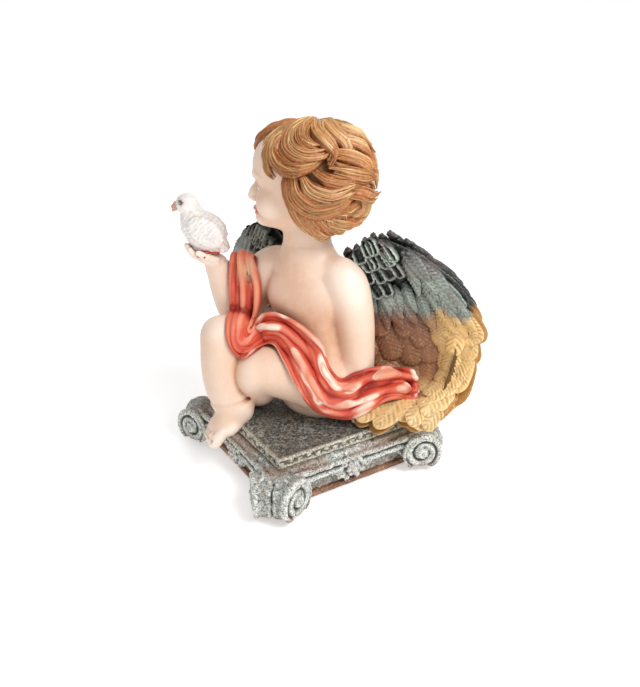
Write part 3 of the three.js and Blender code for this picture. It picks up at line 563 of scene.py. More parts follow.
def face_paint(clay, p):
    paint = skin_paint(clay, p)
    q = to_head(p)
    for side in (-1, 1):
        s = np.array([side, 1, 1, 1])
        paint = mix(paint, SKIN_BLUSH_AND_SHADE * [1.15, 1, 1], 0.34 * blush(q, (side * 8.2, -13.5, -9.2), 4.2))
        eye = egg((side * 5.4, -13.3, -3.9), (3.0, 2.75, 2.45))[2](q)
        lid = 1 - ramp(np.abs((q[:, 2] + 4.25) / 1.55) ** 2 + np.abs((q[:, 0] - side * 5.5) / 2.45) ** 2,
            0.8, 1.05)
        white = (1 - ramp(eye, 0.05, 0.22)) * lid * (q[:, 1] < -12)
        paint = mix(paint, np.array([0.80, 0.77, 0.74]), white)
        look = np.array([side * 5.2, -16.0, -4.35])
        away = np.hypot(q[:, 0] - look[0], (q[:, 2] - look[2]) * 1.05)
        paint = mix(paint, np.array([0.13, 0.19, 0.26]), white * (1 - ramp(away, 1.0, 1.25)))
        paint = mix(paint, np.array([0.01, 0.01, 0.012]), white * (1 - ramp(away, 0.42, 0.6)))
        glint = np.hypot(q[:, 0] - look[0] - 0.35, q[:, 2] - look[2] - 0.4)
        paint = mix(paint, np.array([0.95, 0.95, 0.95]), white * (1 - ramp(glint, 0.16, 0.3)))
        lash = [(2.9, -16.0, -4.4, 0), (4.2, -16.7, -3.0, 0), (6.2, -16.2, -2.9, 0), (8.4, -14.2, -4.3, 0)]
        paint = mix(paint, np.array([0.10, 0.055, 0.04]), 0.85 * near_line(q, np.array(lash) * s, 0.42))
        low = [(3.4, -16.0, -5.6, 0), (5.2, -16.1, -6.1, 0), (7.6, -14.8, -5.3, 0)]
        paint = mix(paint, np.array([0.30, 0.14, 0.10]), 0.4 * near_line(q, np.array(low) * s, 0.35))
        brow = [(2.4, -17.4, -0.3, 0), (5.2, -17.3, 1.5, 0), (8.6, -14.9, 0.5, 0)]
        paint = mix(paint, np.array([0.33, 0.17, 0.09]), 0.55 * near_line(q, np.array(brow) * s, 0.6))
    lips = np.maximum(
        near_line(q, [(-3.2, -16.4, -12.7, 0), (-1.5, -18.1, -12.1, 0), (0, -18.2, -12.4, 0),
            (1.5, -18.1, -12.1, 0), (3.2, -16.4, -12.7, 0)], 1.1),
        near_line(q, [(-2.6, -16.6, -13.2, 0), (0, -17.9, -13.9, 0), (2.6, -16.6, -13.2, 0)], 1.25),
    )
    paint = mix(paint, np.array([0.62, 0.10, 0.08]), 0.75 * lips)
    paint = mix(paint, np.array([0.25, 0.03, 0.03]),
        0.8 * near_line(q, [(-3.1, -16.8, -12.9, 0), (0, -18.2, -13.0, 0), (3.1, -16.8, -12.9, 0)], 0.35))
    return np.clip(paint, 0, 1)


# ---------------------------------------------------------------- hair
HAIR = np.array([0.0, 3.0, -2.0])  # the middle of the hair, in the head's own millimetres
HAIR_RADII = np.array([17.4, 17.6, 17.9])
GOLD = np.array([0.60, 0.28, 0.070])
GOLD_HIGHLIGHT = np.array([0.98, 0.78, 0.38])
GOLD_SHADE = np.array([0.20, 0.050, 0.012])


def on_hair(around, down, lift):
    """A point over the hair: degrees from the face towards the head's left, degrees down from the crown."""
    a, b = np.radians(around), np.radians(down)
    way = np.stack([np.sin(b) * np.sin(a), -np.sin(b) * np.cos(a), np.cos(b)], -1)
    return HAIR + way * (HAIR_RADII + np.asarray(lift)[..., None])


def add_lock(sheets, stations, width, thick, strands, seed, curl=0.0):
    """A tapering lock through (around, down, lift) stations over the hair."""
    s = np.array(stations, float)
    rows = int(max(26, 14 * len(s)) / DETAIL)
    path = spline(on_hair(s[:, 0], s[:, 1], s[:, 2]), rows)
    t = np.linspace(0, 1, rows)
    tangent = unit(np.gradient(path, axis=0))
    out = unit((path - HAIR) / HAIR_RADII)
    out = unit(out - tangent * np.sum(out * tangent, 1, keepdims=True))
    side = np.cross(tangent, out)
    twist = curl * ramp(t, 0.45, 1.0)[:, None]
    out, side = out * np.cos(twist) + side * np.sin(twist), side * np.cos(twist) - out * np.sin(twist)
    half = width * (0.42 + 0.58 * ramp(t, 0, 0.3)) * (1 - 0.93 * ramp(t, 0.5, 1.0) ** 1.3)
    height = thick * (0.55 + 0.45 * ramp(t, 0, 0.25)) * (1 - 0.8 * ramp(t, 0.6, 1.0))
    ring = int(56 / DETAIL)
    angle = np.arange(ring) / ring * 2 * math.pi
    x, y = np.cos(angle)[None], np.sin(angle)[None]
    rng = np.random.default_rng(seed)
    drift = rng.uniform(0, 6) + 0.9 * np.sin(t * rng.uniform(2, 4) + rng.uniform(0, 6))[:, None]
    wave = 0.5 * np.cos(strands * math.pi * x + drift)
    wave = wave + 0.5 * np.cos(strands * 1.7 * math.pi * x - 1.4 * drift + 4 * t[:, None])
    wave = wave * (0.6 + 0.4 * np.sin(6 * t[:, None] + 4 * x + seed))
    wave = wave + 0.35 * np.cos(7 * math.pi * x + 2 * drift + 2 * t[:, None])
    top = ramp(y, -0.1, 0.35)
    rise = np.sign(y) * np.abs(y) ** 0.8 * np.where(y > 0, 1.0, 0.55)
    rise = height[:, None] * (rise + 0.42 * wave * top * ramp(1 - np.abs(x), 0, 0.15))
    grid = path[:, None] + side[:, None] * (half[:, None] * x)[..., None] + out[:, None] * rise[..., None]
    crest = ramp(wave, -0.2, 0.75) * top
    edge = ramp(np.abs(x), 0.62, 1.0) * np.ones_like(crest)
    tone = rng.uniform(-0.3, 0.45)
    # Painted light: the locks are lighter towards the crown and darker and redder lower down, and pale
    # painted highlights run along the crests of the strands.
    high = ramp(path[:, 2], HEAD[2] - 14, HEAD[2] + 14)[:, None]
    base = mix(GOLD * [0.76, 0.50, 0.42], GOLD * [1.1, 1.2, 1.15], high * np.ones_like(crest))
    paint = mix(base, GOLD_HIGHLIGHT, np.clip(crest * (1 - 0.45 * edge) * (0.36 + 0.62 * high + tone), 0, 1))
    # Painted shade: dark between the strands, at the edges of the lock and on its underside.
    shade = np.clip(1.1 * edge + (1 - top) + 0.85 * ramp(-wave, 0.1, 0.75) * top, 0, 1)
    paint = mix(paint, GOLD_SHADE, shade * 0.84)
    world = HEAD + grid @ HEAD_AXES
    sheets.add(world, paint)


def hair_cap():
    clay = Clay(HEAD - [24, 26, 24], HEAD + [24, 26, 24], 0.5)
    clay.add(egg(on_head(*HAIR), HAIR_RADII - [1.1, 1.1, 1.1], HEAD_AXES))
    clay.cut(egg(on_head(0, 1.6, -2), (14.2, 14.6, 15.4), HEAD_AXES), 0)

    def face(p):
        q = to_head(p)
        hairline = q[..., 2] - 7.5 + (q[..., 1] + 4.5) * 0.36
        return soft_min(-(q[..., 1] + 4.8 + 0.05 * q[..., 2]), -hairline, 3.0) * -1.0

    clay.cut((HEAD - 40, HEAD + 40, face), 0.8)
    clay.cut((HEAD - 40, HEAD + 40, lambda p: p[..., 2] - HEAD[2] + 16.8), 1.0)
    return clay


# Each lock: its stations as (around, down, lift) on the skull, half width, thickness, number of strands.
LOCKS = [
    # the fringe
    ([(70, 10, 0.6), (20, 30, 2.2), (2, 48, 3.8), (-4, 60, 3.6), (6, 68, 1.4)], 3.3, 2.2, 4),
    ([(80, 14, 0.4), (34, 30, 1.4), (18, 48, 1.8), (16, 64, 1.4), (24, 77, 0.4), (34, 84, -0.4)], 3.2, 2.0,
        4),
    ([(90, 12, 0.5), (48, 30, 1.6), (34, 48, 1.8), (33, 62, 1.2), (42, 76, 0.4), (50, 82, -0.2)], 2.8, 1.9,
        4),
    ([(40, 10, 0.3), (-8, 34, 1.3), (-22, 54, 1.4), (-18, 68, 0.8), (-4, 76, -0.2)], 3.6, 2.1, 4),
    ([(0, 10, 0.2), (-38, 34, 1.1), (-48, 54, 1.3), (-42, 70, 0.8), (-26, 78, -0.4)], 3.7, 2.1, 4),
    # the large swirls over the temple
    ([(100, 10, 0.6), (60, 24, 1.7), (49, 42, 2.0), (54, 60, 1.9), (72, 73, 2.0), (94, 72, 2.3),
        (110, 62, 2.2)], 3.9, 2.4, 6),
    ([(110, 10, 0.7), (74, 22, 2.1), (63, 38, 2.5), (68, 54, 2.5), (84, 63, 2.7), (102, 62, 2.7),
        (112, 56, 2.2)], 3.2, 2.2, 5),
    ([(120, 8, 0.8), (90, 22, 2.2), (80, 36, 2.7), (84, 48, 2.8), (96, 55, 2.8), (108, 54, 2.2)], 2.7, 2.0,
        4),
    ([(128, 10, 0.8), (106, 24, 2.0), (104, 38, 2.6), (112, 50, 2.9), (118, 61, 2.6), (112, 70, 1.8)], 3.1,
        2.1, 5),
    ([(140, 10, 0.7), (126, 24, 1.9), (128, 40, 2.5), (136, 52, 2.7), (134, 64, 2.3), (124, 70, 1.6)], 3.0,
        2.1, 5),
    ([(155, 10, 0.6), (146, 26, 1.7), (150, 42, 2.3), (156, 54, 2.5), (150, 66, 2.2), (140, 72, 1.6)], 3.1,
        2.1, 5),
    ([(172, 12, 0.6), (164, 30, 1.6), (166, 46, 2.3), (168, 60, 2.7), (162, 72, 2.8), (166, 82, 2.6)], 3.3,
        2.2, 5),
    ([(192, 14, 0.5), (184, 34, 1.6), (180, 52, 2.2), (176, 66, 2.6), (180, 78, 2.8), (188, 84, 2.4)], 3.5,
        2.2, 5),
    # the second row, swept back
    ([(74, 82, 0.0), (80, 98, 1.7), (96, 109, 2.6), (116, 106, 3.0), (132, 98, 2.9), (146, 95, 2.4)], 4.0,
        2.4, 6),
    ([(84, 78, 0.8), (94, 92, 2.2), (112, 98, 2.9), (130, 94, 2.9), (142, 88, 2.4)], 3.0, 2.1, 5),
    ([(98, 74, 0.8), (112, 84, 2.0), (130, 87, 2.7), (146, 86, 3.0), (158, 88, 3.0)], 2.9, 2.0, 5),
    ([(112, 66, 0.8), (128, 76, 2.0), (144, 80, 2.6), (158, 84, 3.0), (170, 92, 3.4)], 2.8, 2.0, 4),
    ([(128, 62, 0.8), (142, 70, 2.1), (156, 76, 2.7), (168, 84, 3.2), (178, 94, 3.6)], 2.8, 2.0, 4),
    ([(68, 76, -0.6), (71, 90, 0.4), (75, 104, 0.9), (80, 118, 0.9), (84, 128, 0.6)], 2.6, 1.8, 4),
    ([(64, 74, -0.8), (66, 88, -0.1), (70, 102, 0.4), (74, 116, 0.6), (76, 126, 0.2)], 2.0, 1.5, 3),
    # the bob
    ([(72, 96, 0.2), (76, 112, 1.2), (82, 126, 1.6), (90, 137, 1.2), (100, 141, 0.8)], 2.5, 1.9, 4),
    ([(82, 104, 0.5), (86, 118, 1.7), (94, 130, 2.1), (104, 139, 1.8), (112, 140, 1.2)], 2.6, 2.0, 4),
    ([(92, 108, 0.5), (94, 122, 1.9), (104, 134, 2.4), (114, 139, 2.0), (124, 136, 1.4)], 2.7, 2.0, 4),
    ([(104, 108, 0.5), (104, 122, 2.0), (114, 133, 2.5), (126, 136, 2.2), (134, 130, 1.6)], 2.7, 2.1, 4),
    ([(116, 104, 0.8), (113, 117, 2.2), (121, 128, 2.8), (134, 131, 2.6), (144, 124, 2.0)], 2.8, 2.1, 5),
    ([(130, 100, 0.8), (124, 112, 2.2), (129, 123, 3.0), (142, 126, 3.0), (154, 118, 2.4), (152, 109, 1.6)],
        2.9, 2.1, 5),
    ([(148, 96, 0.8), (158, 106, 2.2), (162, 117, 2.8), (154, 126, 2.4), (142, 125, 1.6)], 2.9, 2.1, 5),
    ([(136, 98, 1.6), (148, 102, 2.8), (150, 111, 3.2), (140, 116, 3.1), (132, 111, 2.4)], 2.2, 1.8, 4),
    ([(100, 98, 1.0), (112, 108, 2.4), (128, 112, 3.0), (142, 106, 2.8), (150, 100, 2.2)], 2.6, 2.0, 5),
    ([(88, 92, 0.8), (98, 106, 2.2), (112, 116, 2.8), (124, 114, 2.6)], 2.4, 1.9, 4),
    # tips that stand off at the back
    ([(128, 46, 2.0), (142, 52, 3.4), (152, 60, 4.6), (158, 70, 5.6)], 2.6, 2.2, 4),
    ([(120, 60, 2.2), (136, 66, 3.6), (148, 74, 4.8), (156, 84, 6.0)], 2.6, 2.2, 4),
    ([(116, 76, 2.0), (132, 80, 3.4), (146, 84, 4.8), (158, 84, 6.2)], 2.5, 2.1, 4),
    ([(124, 92, 2.0), (140, 94, 3.6), (152, 98, 5.0), (162, 96, 6.0)], 2.4, 2.0, 4),
    ([(108, 118, 2.2), (124, 122, 3.6), (138, 122, 4.6), (150, 116, 5.2)], 2.5, 2.0, 4),
    ([(142, 30, 1.8), (150, 40, 3.2), (160, 50, 4.4), (168, 62, 5.2)], 2.5, 2.1, 4),
    ([(88, 120, 1.8), (96, 132, 3.0), (108, 140, 3.6), (120, 142, 3.2)], 2.2, 1.8, 4),
    ([(60, 34, 2.4), (50, 50, 3.2), (54, 64, 3.2), (68, 74, 3.4), (84, 78, 3.8)], 2.6, 2.1, 4),
]


def build_hair():
    material = hair_material()
    cap = hair_cap()
    points, faces = clay_mesh(cap)
    # The cap under the locks is painted dark as painted shade, lighter on its bumps.
    shade = cap.hollow(points, 1.5)
    paint = mix(GOLD_SHADE * 1.6, GOLD, ramp(-shade, -0.55, -0.35) * 0.5)
    place(make_mesh("hair_cap", points, faces, paint, material=material), "hair", "hair")
    sheets = Sheets()
    for n, (stations, width, thick, strands) in enumerate(LOCKS):
        add_lock(sheets, stations, width, thick, strands, n, curl=0.5 * math.sin(2.1 * n))
        rng = np.random.default_rng(60 + n)
        for k in range(3):  # loose wisps that lie over the lock
            turn, drop = rng.uniform(-6, 6), rng.uniform(-5, 5)
            first = int(rng.integers(0, 2))
            wisp = [(a + turn * (1 - 0.6 * m / len(stations)), b + drop, lift + 0.9) for m,
                (a, b, lift) in enumerate(stations)][first:]
            add_lock(sheets, wisp, width * rng.uniform(0.28, 0.5), thick * 0.55, 2, 200 + 3 * n + k,
                curl=rng.uniform(-0.5, 0.5))
    rng = np.random.default_rng(5)
    for layer, (first, last, start, steps, width) in enumerate([
        (196, 318, 12, 62, 4.3), (186, 300, 62, 42, 4.1), (178, 296, 88, 34, 3.7), (170, 294, 104, 30, 3.4),
    ]):
        count = 8 + layer
        for n in range(count):
            around = first + (last - first) * n / (count - 1) + rng.uniform(-4, 4)
            bend = 20 * math.sin(1.9 * n + layer) * (1 if layer % 2 else -1)
            down = start + rng.uniform(-3, 3)
            stations = [
                (around - bend * 0.5, down, 0.3), (around + bend * 0.2, down + steps * 0.3, 1.3),
                (around + bend, down + steps * 0.62, 2.0), (around + bend * 0.4, down + steps * 0.86, 1.9),
                (around - bend * 0.5, down + steps, 1.2),
            ]
            add_lock(sheets, stations, width, 2.2, 5, 100 + layer * 20 + n, curl=rng.uniform(-0.3, 0.3))
    place(sheets.build("hair_locks", material), "hair")


# ---------------------------------------------------------------- the sash
RED = np.array([0.60, 0.075, 0.040])
RED_SHADE = np.array([0.23, 0.012, 0.010])
RED_DRYBRUSH_AND_HIGHLIGHT = np.array([0.84, 0.33, 0.20])
IVORY_AND_HIGHLIGHT = np.array([0.92, 0.78, 0.64])
PALE_FOREARM_PATCH = np.array([0.80, 0.58, 0.36])
SASH_EDGES = [  # the cloth's outer edge and its inner edge, from behind the forearm to the wing
    ((-28.5, -11.5, 44.0), (-20.0, -9.0, 45.0)),
    ((-27.0, -14.5, 54.0), (-18.0, -10.0, 56.0)),
    ((-23.0, -18.0, 57.0), (-15.6, -13.2, 58.2)),
    ((-21.6, -20.0, 47.5), (-12.4, -12.0, 50.0)),
    ((-20.9, -20.6, 37.5), (-11.4, -12.6, 41.5)),
    ((-19.4, -21.2, 28.0), (-11.6, -14.4, 35.5)),
    ((-15.8, -21.0, 22.0), (-10.8, -15.8, 32.0)),
    ((-11.4, -18.6, 20.8), (-9.2, -15.4, 33.6)),
    ((-7.8, -17.0, 23.8), (-6.2, -13.6, 38.6)),
    ((-4.2, -16.4, 27.6), (-1.8, -12.0, 40.8)),
    ((0.6, -14.4, 29.4), (2.6, -7.6, 38.8)),
    ((5.8, -13.0, 24.6), (8.4, -3.6, 35.2)),
    ((11.6, -12.0, 17.8), (13.4, -1.2, 30.8)),
    ((15.8, -10.0, 11.2), (16.4, -0.4, 24.0)),
    ((18.4, -4.8, 5.4), (18.4, 3.2, 18.6)),
    ((22.6, 3.4, 3.0), (20.2, 8.6, 19.6)),
    ((25.8, 11.6, 6.2), (21.6, 14.6, 21.2)),
    ((27.6, 18.8, 9.0), (22.6, 20.8, 20.8)),
    ((28.6, 25.0, 8.4), (23.2, 26.6, 19.4)),
    ((29.2, 29.0, 6.8), (24.4, 30.4, 17.6)),
    ((28.8, 31.6, 9.0), (25.4, 32.2, 15.0)),
]


SHOWN_SIDE = unit([0.78, -0.5, 0.38])  # the way that the sash faces, off the body


def sash_folds(t, x):
    """The height of the folds, t along the cloth and x across it from -1 to 1."""
    folds = 0
    for count, size, phase, run in ((1.8, 1.15, 0.5, 4.5), (2.9, 0.9, 2.2, -6.5), (4.7, 0.4, 0.3, 7.0)):
        sway = 0.8 * np.sin(2.2 * run * t + phase)
        folds = folds + size * np.sin(math.pi * count * x + phase + run * t + sway)
    run_on = np.stack([t * 13 + 0 * x, x * 3.2 + 3 * t, 0 * t * x], -1)
    folds = folds + 1.1 * noise(run_on, 1.0, 4) + 0.5 * noise(run_on * [1.6, 2.2, 1], 1.0, 5)
    loose = ramp(t, 0.66, 0.78) * (1 - ramp(t, 0.97, 1.0))
    folds = folds + loose * 2.3 * np.sin(44 * t + 2.6 * x + 0.5) * (0.6 + 0.5 * x)
    return folds + loose * 0.9 * np.sin(71 * t - 3.1 * x)


def clear_of(body, sheet, height):
    """The sheet pushed out wherever it would lie in the body, evenly over neighbouring points."""
    rows, half = height.shape
    deep = np.zeros((rows, half))
    for _ in range(26):
        flat = (sheet + SHOWN_SIDE * deep[..., None]).reshape(-1, 3)
        far_corner = body.low + body.step * (np.array(body.shape) - 1)
        inside = np.all((flat > body.low) & (flat < far_corner), axis=1)
        gap = np.where(inside, body.at(body.d, flat), 9.0).reshape(rows, half)
        deep += np.clip((1.0 + 0.5 * np.clip(height, -1, 2)) - gap, 0, 1.2) * 0.8
    for _ in range(int(14 / DETAIL)):
        soft = np.maximum(deep, 0)
        around = deep[2:, 1:-1] + deep[:-2, 1:-1] + deep[1:-1, 2:] + deep[1:-1, :-2]
        soft[1:-1, 1:-1] = 0.5 * deep[1:-1, 1:-1] + 0.125 * around
        deep = np.maximum(soft, deep * 0.985)
    return sheet + SHOWN_SIDE * deep[..., None]


def sash_paint(sheet, face, folds, t, x):
    """Red, with pale drybrushed crests that are partly painted highlight, ivory streaks on the lap that are
    partly painted highlight, painted shade in the hollows and a pale patch on the forearm.
    """
    bend = np.zeros(folds.shape)
    for step in (2, 4):
        for axis in (0, 1):
            ahead, behind = np.roll(sheet, -step, axis), np.roll(sheet, step, axis)
            bend += np.sum((2 * sheet - ahead - behind) * face, -1) / step
    bend[:4], bend[-4:], bend[:, :4], bend[:, -4:] = 0.1, 0.1, 0.1, 0.1
    streaks = noise(np.stack([t * 60 + 0 * x, x * 9 + 0 * t, 0 * t * x], -1), 1.6, 3)
    fold = (folds - folds.mean()) / folds.std()
    # Paler crests: drybrush that also stands in as painted highlight.
    crest = np.clip(0.4 * ramp(bend, 0.04, 0.35) + 0.8 * ramp(fold, 0.6, 1.8) * (0.8 + 0.7 * streaks), 0, 1)
    hollow = np.clip(ramp(-bend, 0.0, 0.3) + 0.8 * ramp(-fold, 0.5, 1.6), 0, 1)
    paint = mix(RED, RED_DRYBRUSH_AND_HIGHLIGHT, crest * 0.9)
    # Ivory streaks along the crests on the lap, partly paint and partly painted highlight.
    lit = ramp(crest, 0.45, 0.9) * ramp(0.4 * streaks + noise(sheet, 9, 8), -0.25, 0.45) * ramp(t, 0.33,
        0.45)
    thin = np.exp(-(((fold - 1.15 + 0.5 * streaks) / 0.22) ** 2)) * ramp(t, 0.3, 0.42)
    paint = mix(paint, IVORY_AND_HIGHLIGHT, np.clip(np.maximum(lit, 0.9 * thin * (0.6 + 0.8 * streaks)), 0, 1) * 0.88)
    # A pale patch over the forearm.
    patch = blush(sheet.reshape(-1, 3), (-16.5, -15.5, 53.5), 3.8).reshape(folds.shape)
    paint = mix(paint, PALE_FOREARM_PATCH, np.clip(patch * (0.9 + 0.5 * streaks), 0, 1))
    # Painted shade in the hollows of the folds.
    return mix(paint, RED_SHADE, hollow * 0.75)


def build_sash(body):
    rows, half = int(300 / DETAIL), int(84 / DETAIL)
    edges = spline(np.array(SASH_EDGES).reshape(len(SASH_EDGES), 6), rows)
    t = np.linspace(0, 1, rows)[:, None]
    x = np.linspace(-1, 1, half)[None]
    middle, across = (edges[:, :3] + edges[:, 3:]) / 2, (edges[:, 3:] - edges[:, :3]) / 2
    normal = unit(np.cross(unit(across), unit(np.gradient(middle, axis=0))))
    normal *= np.sign(np.sum(normal * np.array([0.7, -0.45, 0.55]), 1, keepdims=True)).mean()
    folds = sash_folds(t, x)
    arch = 1 - x**2
    hem = 0.5 * ramp(np.abs(x), 0.86, 1.0) - 0.5 * np.exp(-(((np.abs(x) - 0.9) / 0.07) ** 2))
    height = arch + folds * (0.35 + 0.65 * ramp(t, 0.03, 0.12)) * (1 - 0.5 * ramp(t, 0.93, 1.0)) - hem
    sheet = middle[:, None] + across[:, None] * x[..., None] + normal[:, None] * height[..., None]
    sheet = clear_of(body, sheet, height)
    face = unit(np.cross(np.gradient(sheet, axis=1), np.gradient(sheet, axis=0)))
    face *= np.sign(np.sum(face * normal[:, None]))
    thick = 0.75 * np.sqrt(np.clip(1 - np.abs(x) ** 6, 0.02, 1))[..., None] * np.ones((rows, 1, 1))
    grid = np.concatenate([sheet + face * thick, (sheet - face * thick)[:, ::-1]], axis=1)
    paint = sash_paint(sheet, face, folds, t, x)
    sheets = Sheets()
    # The side that faces the body is painted darker, as painted shade.
    sheets.add(grid, np.concatenate([paint, paint[:, ::-1] * 0.6], axis=1))
    place(sheets.build("sash_cloth", cloth_material()), "cloth_paint", "sash")


# ---------------------------------------------------------------- the wings
WING_ROWS = np.array([  # from the ridge down to the tips, and from the root outwards
    [[2.5, 13.5, 56], [11, 20.5, 65.6], [20, 27.5, 64.4], [28, 38, 56]],
    [[-1, 15.5, 46], [11, 27, 48.5], [23, 37.5, 48.5], [33, 46, 44.5]],
    [[0, 17, 31], [13, 31, 30.5], [25, 43, 30.5], [36.5, 50, 30.5]],
    [[10, 20, 14], [20, 32, 11.5], [30, 40, 11], [38, 43, 13.5]],
    [[23.5, 4, 2.4], [31, 9, 2.3], [36.5, 17, 2.3], [39, 28, 3]],
])
SLATE = np.array([0.10, 0.125, 0.115])
SLATE_HIGHLIGHT = np.array([0.46, 0.53, 0.46])
OCHRE = np.array([0.66, 0.36, 0.095])
OCHRE_HIGHLIGHT = np.array([0.93, 0.75, 0.42])
OCHRE_SHADE = np.array([0.30, 0.125, 0.040])
RED_BROWN_AND_SHADE = np.array([0.17, 0.055, 0.028])
SPINE = np.array([-4.0, 3.0, 0.0])
SWEEP = math.radians(-8)


def bezier4(points, t):
    """Smooth rows through four or five points: t is any shape, points is (..., n, 3)."""
    n = points.shape[-2]
    p = np.concatenate([2 * points[..., :1, :] - points[..., 1:2, :], points,
        2 * points[..., -1:, :] - points[..., -2:-1, :]], -2)
    t = np.clip(t, 0, 1) * (n - 1) * (1 - 1e-9)
    i = t.astype(int)
    f = (t - i)[..., None]
    a, b, c, d = (np.take_along_axis(p, (i + k)[..., None, None], -2)[..., 0, :] for k in range(4))
    return 0.5 * (2 * b + (c - a) * f + (2 * a - 5 * b + 4 * c - d) * f**2 + (3 * b - a - 3 * c + d) * f**3)


def wing_sheet(u, v):
    """A point of the wing's middle sheet: u from root to edge and v from ridge to tips."""
    u, v = np.broadcast_arrays(np.asarray(u, float), np.asarray(v, float))
    if u.max(initial=0) > 1 or v.max(initial=0) > 1 or v.min(initial=0) < 0:
        cu, cv = np.clip(u, 0, 1), np.clip(v, 0, 1)
        base = wing_sheet(cu, cv)
        inner_u, inner_v = wing_sheet(np.clip(cu - 0.04, 0, 1), cv), wing_sheet(cu,
            np.clip(cv + np.where(v < 0, 0.04, -0.04), 0, 1))
        return base + (base - inner_u) * ((u - cu) / 0.04)[...,
            None] + (base - inner_v) * (np.abs(v - cv) / 0.04)[..., None]
    rows = np.stack([bezier4(np.broadcast_to(row, u.shape + row.shape), u) for row in WING_ROWS], -2)
    return bezier4(rows, v)


def wing_normal(u, v):
    """The way that the hollow side of the sheet faces."""
    e = 0.012
    du = wing_sheet(np.clip(u + e, 0, 1), v) - wing_sheet(np.clip(u - e, 0, 1), v)
    dv = wing_sheet(u, np.clip(v + e, 0, 1)) - wing_sheet(u, np.clip(v - e, 0, 1))
    return unit(np.cross(dv, du))


def add_feather(sheets, start, end, width, front, lift, seed, thick=0.9, cup=0.0, sharp=0.0, bow=0.0):
    """A feather from start to end, both (u, v) on the sheet, on its hollow or its outer side."""
    rng = np.random.default_rng(seed)
    (u0, v0), (u1, v1) = start, end
    reach = float(np.linalg.norm(wing_sheet(u1, v1) - wing_sheet(u0, v0)))
    rows = int(max(14, reach * 3.6) / DETAIL)
    t = np.linspace(0, 1, rows)
    us = u0 + (u1 - u0) * t + bow * np.sin(math.pi * t)
    vs = v0 + (v1 - v0) * t
    path = wing_sheet(us, vs)
    out = wing_normal(np.clip(us, 0, 1), np.clip(vs, 0, 1)) * (1.0 if front else -1.0)
    path = path + out * (lift[0] + (lift[1] - lift[0]) * t + 0.5 * t**3)[:, None]
    tangent = unit(np.gradient(path, axis=0))
    out = unit(out - tangent * np.sum(out * tangent, 1, keepdims=True))
    across = np.cross(tangent, out)
    start_blunt = 0.72 - 0.45 * sharp
    blunt = np.clip(1 - np.clip((t - start_blunt) / (1 - start_blunt), 0, 1) ** (2.4 - 1.1 * sharp), 0.0,
        1) ** 0.5
    half = width * (0.5 + 0.5 * ramp(t, 0, 0.35)) * np.maximum(blunt, 0.05)
    ring = int(32 / DETAIL)
    angle = np.arange(ring) / ring * 2 * math.pi
    x, y = np.cos(angle)[None], np.sin(angle)[None]
    t2 = t[:, None]
    top = ramp(y, -0.05, 0.3)
    pitch = rng.uniform(1.9, 2.4) if vs[-1] > 0.9 else rng.uniform(1.4, 1.9)
    bent = 1.6 * np.sin(5 * t2 + seed)
    barb = np.cos(2 * math.pi * (reach * t2 / pitch - np.abs(x) * width / pitch * 0.8) + bent)
    barb = barb * (0.45 + 0.55 * ramp(noise(np.stack([t2 * reach + 0 * x, x * 3 + 0 * t2,
        0 * t2 * x + seed], -1), 2.2, seed), -0.4, 0.4))
    shaft = np.exp(-((x / 0.12) ** 2))
    dome = np.sign(y) * np.abs(y) ** 0.75 * np.where(y > 0, 1.0, 0.6)
    rim = ramp(np.abs(x), 0.45, 0.8) * cup
    pit = top * cup * (1 - ramp(np.abs(x), 0.42, 0.78)) * ramp(t2, 0.06, 0.2) * (1 - ramp(t2, 0.74, 0.92))
    ribs = 0.2 * barb * (1 - shaft) + 0.3 * shaft * (1 - t2) + 0.6 * rim
    rise = thick * np.maximum(blunt, 0.15)[:, None] * (dome + top * ribs - 2.1 * pit)
    grid = path[:, None] + across[:, None] * (half[:, None] * x)[..., None] + out[:, None] * rise[..., None]
    patch = noise(path, 6, 61)[:, None] * 0.05
    green = 1 - ramp(vs[:, None] + patch + 0.14 * (us[:, None] - 0.5), 0.36, 0.47)
    # The inner half of the hollow side: partly reddish-brown paint and partly painted shade.
    inner = (1 - ramp(us, 0.56, 0.8))[:, None] * ramp(vs, 0.33, 0.46)[:,
        None] * (1 - ramp(vs, 0.7, 0.85))[:, None]
    inner = inner * (1.0 if front else 0.35)
    shape = barb.shape + (3,)
    # Painted highlights: the upper side of each feather is paler along its barbs, shaft and edges.
    crest = top * np.clip(0.45 + (0.4 - 0.3 * sharp) * barb + 0.4 * shaft + rim, 0,
        1) * (0.35 + 0.65 * ramp(t2, 0.0, 0.5))
    edge = ramp(np.abs(x), 0.78, 1.0) * np.ones_like(crest)
    # Painted shade on the ochre feathers: dark underneath, at the root and in the troughs between barbs.
    gap = np.clip(0.55 * (1 - top) + 0.3 * (1 - ramp(t2, 0.0, 0.3)) + 0.4 * ramp(-barb, 0.3, 0.9) * top, 0,
        1)
    yellow = mix(mix(np.broadcast_to(OCHRE, shape), OCHRE_HIGHLIGHT,
        np.clip(crest * (0.5 + 0.4 * ramp(vs[:, None], 0.6, 0.95)) + 0.3 * edge * top, 0, 1)), OCHRE_SHADE,
        gap)
    slate = mix(np.broadcast_to(SLATE, shape), SLATE_HIGHLIGHT,
        np.clip(crest * rng.uniform(0.6, 1.0) + 0.3 * edge * top, 0, 1))
    # Painted shade on the slate feathers: near black in the cups, at the roots, between barbs and
    # underneath.
    dark = pit * 1.8 + 0.75 * (1 - ramp(t2, 0.0, 0.4)) + 0.2 * ramp(-barb, 0.2, 0.8) * top + (1 - top)
    slate = mix(slate, SLATE * 0.16, np.clip(dark, 0, 1))
    slate = mix(slate, np.broadcast_to(np.array([0.15, 0.10, 0.105]), shape),
        0.4 * ramp(noise(path, 5, 62), 0.1, 0.5)[:, None] * np.ones_like(crest))
    paint = mix(yellow, slate, np.clip(green, 0, 1) * np.ones_like(crest))
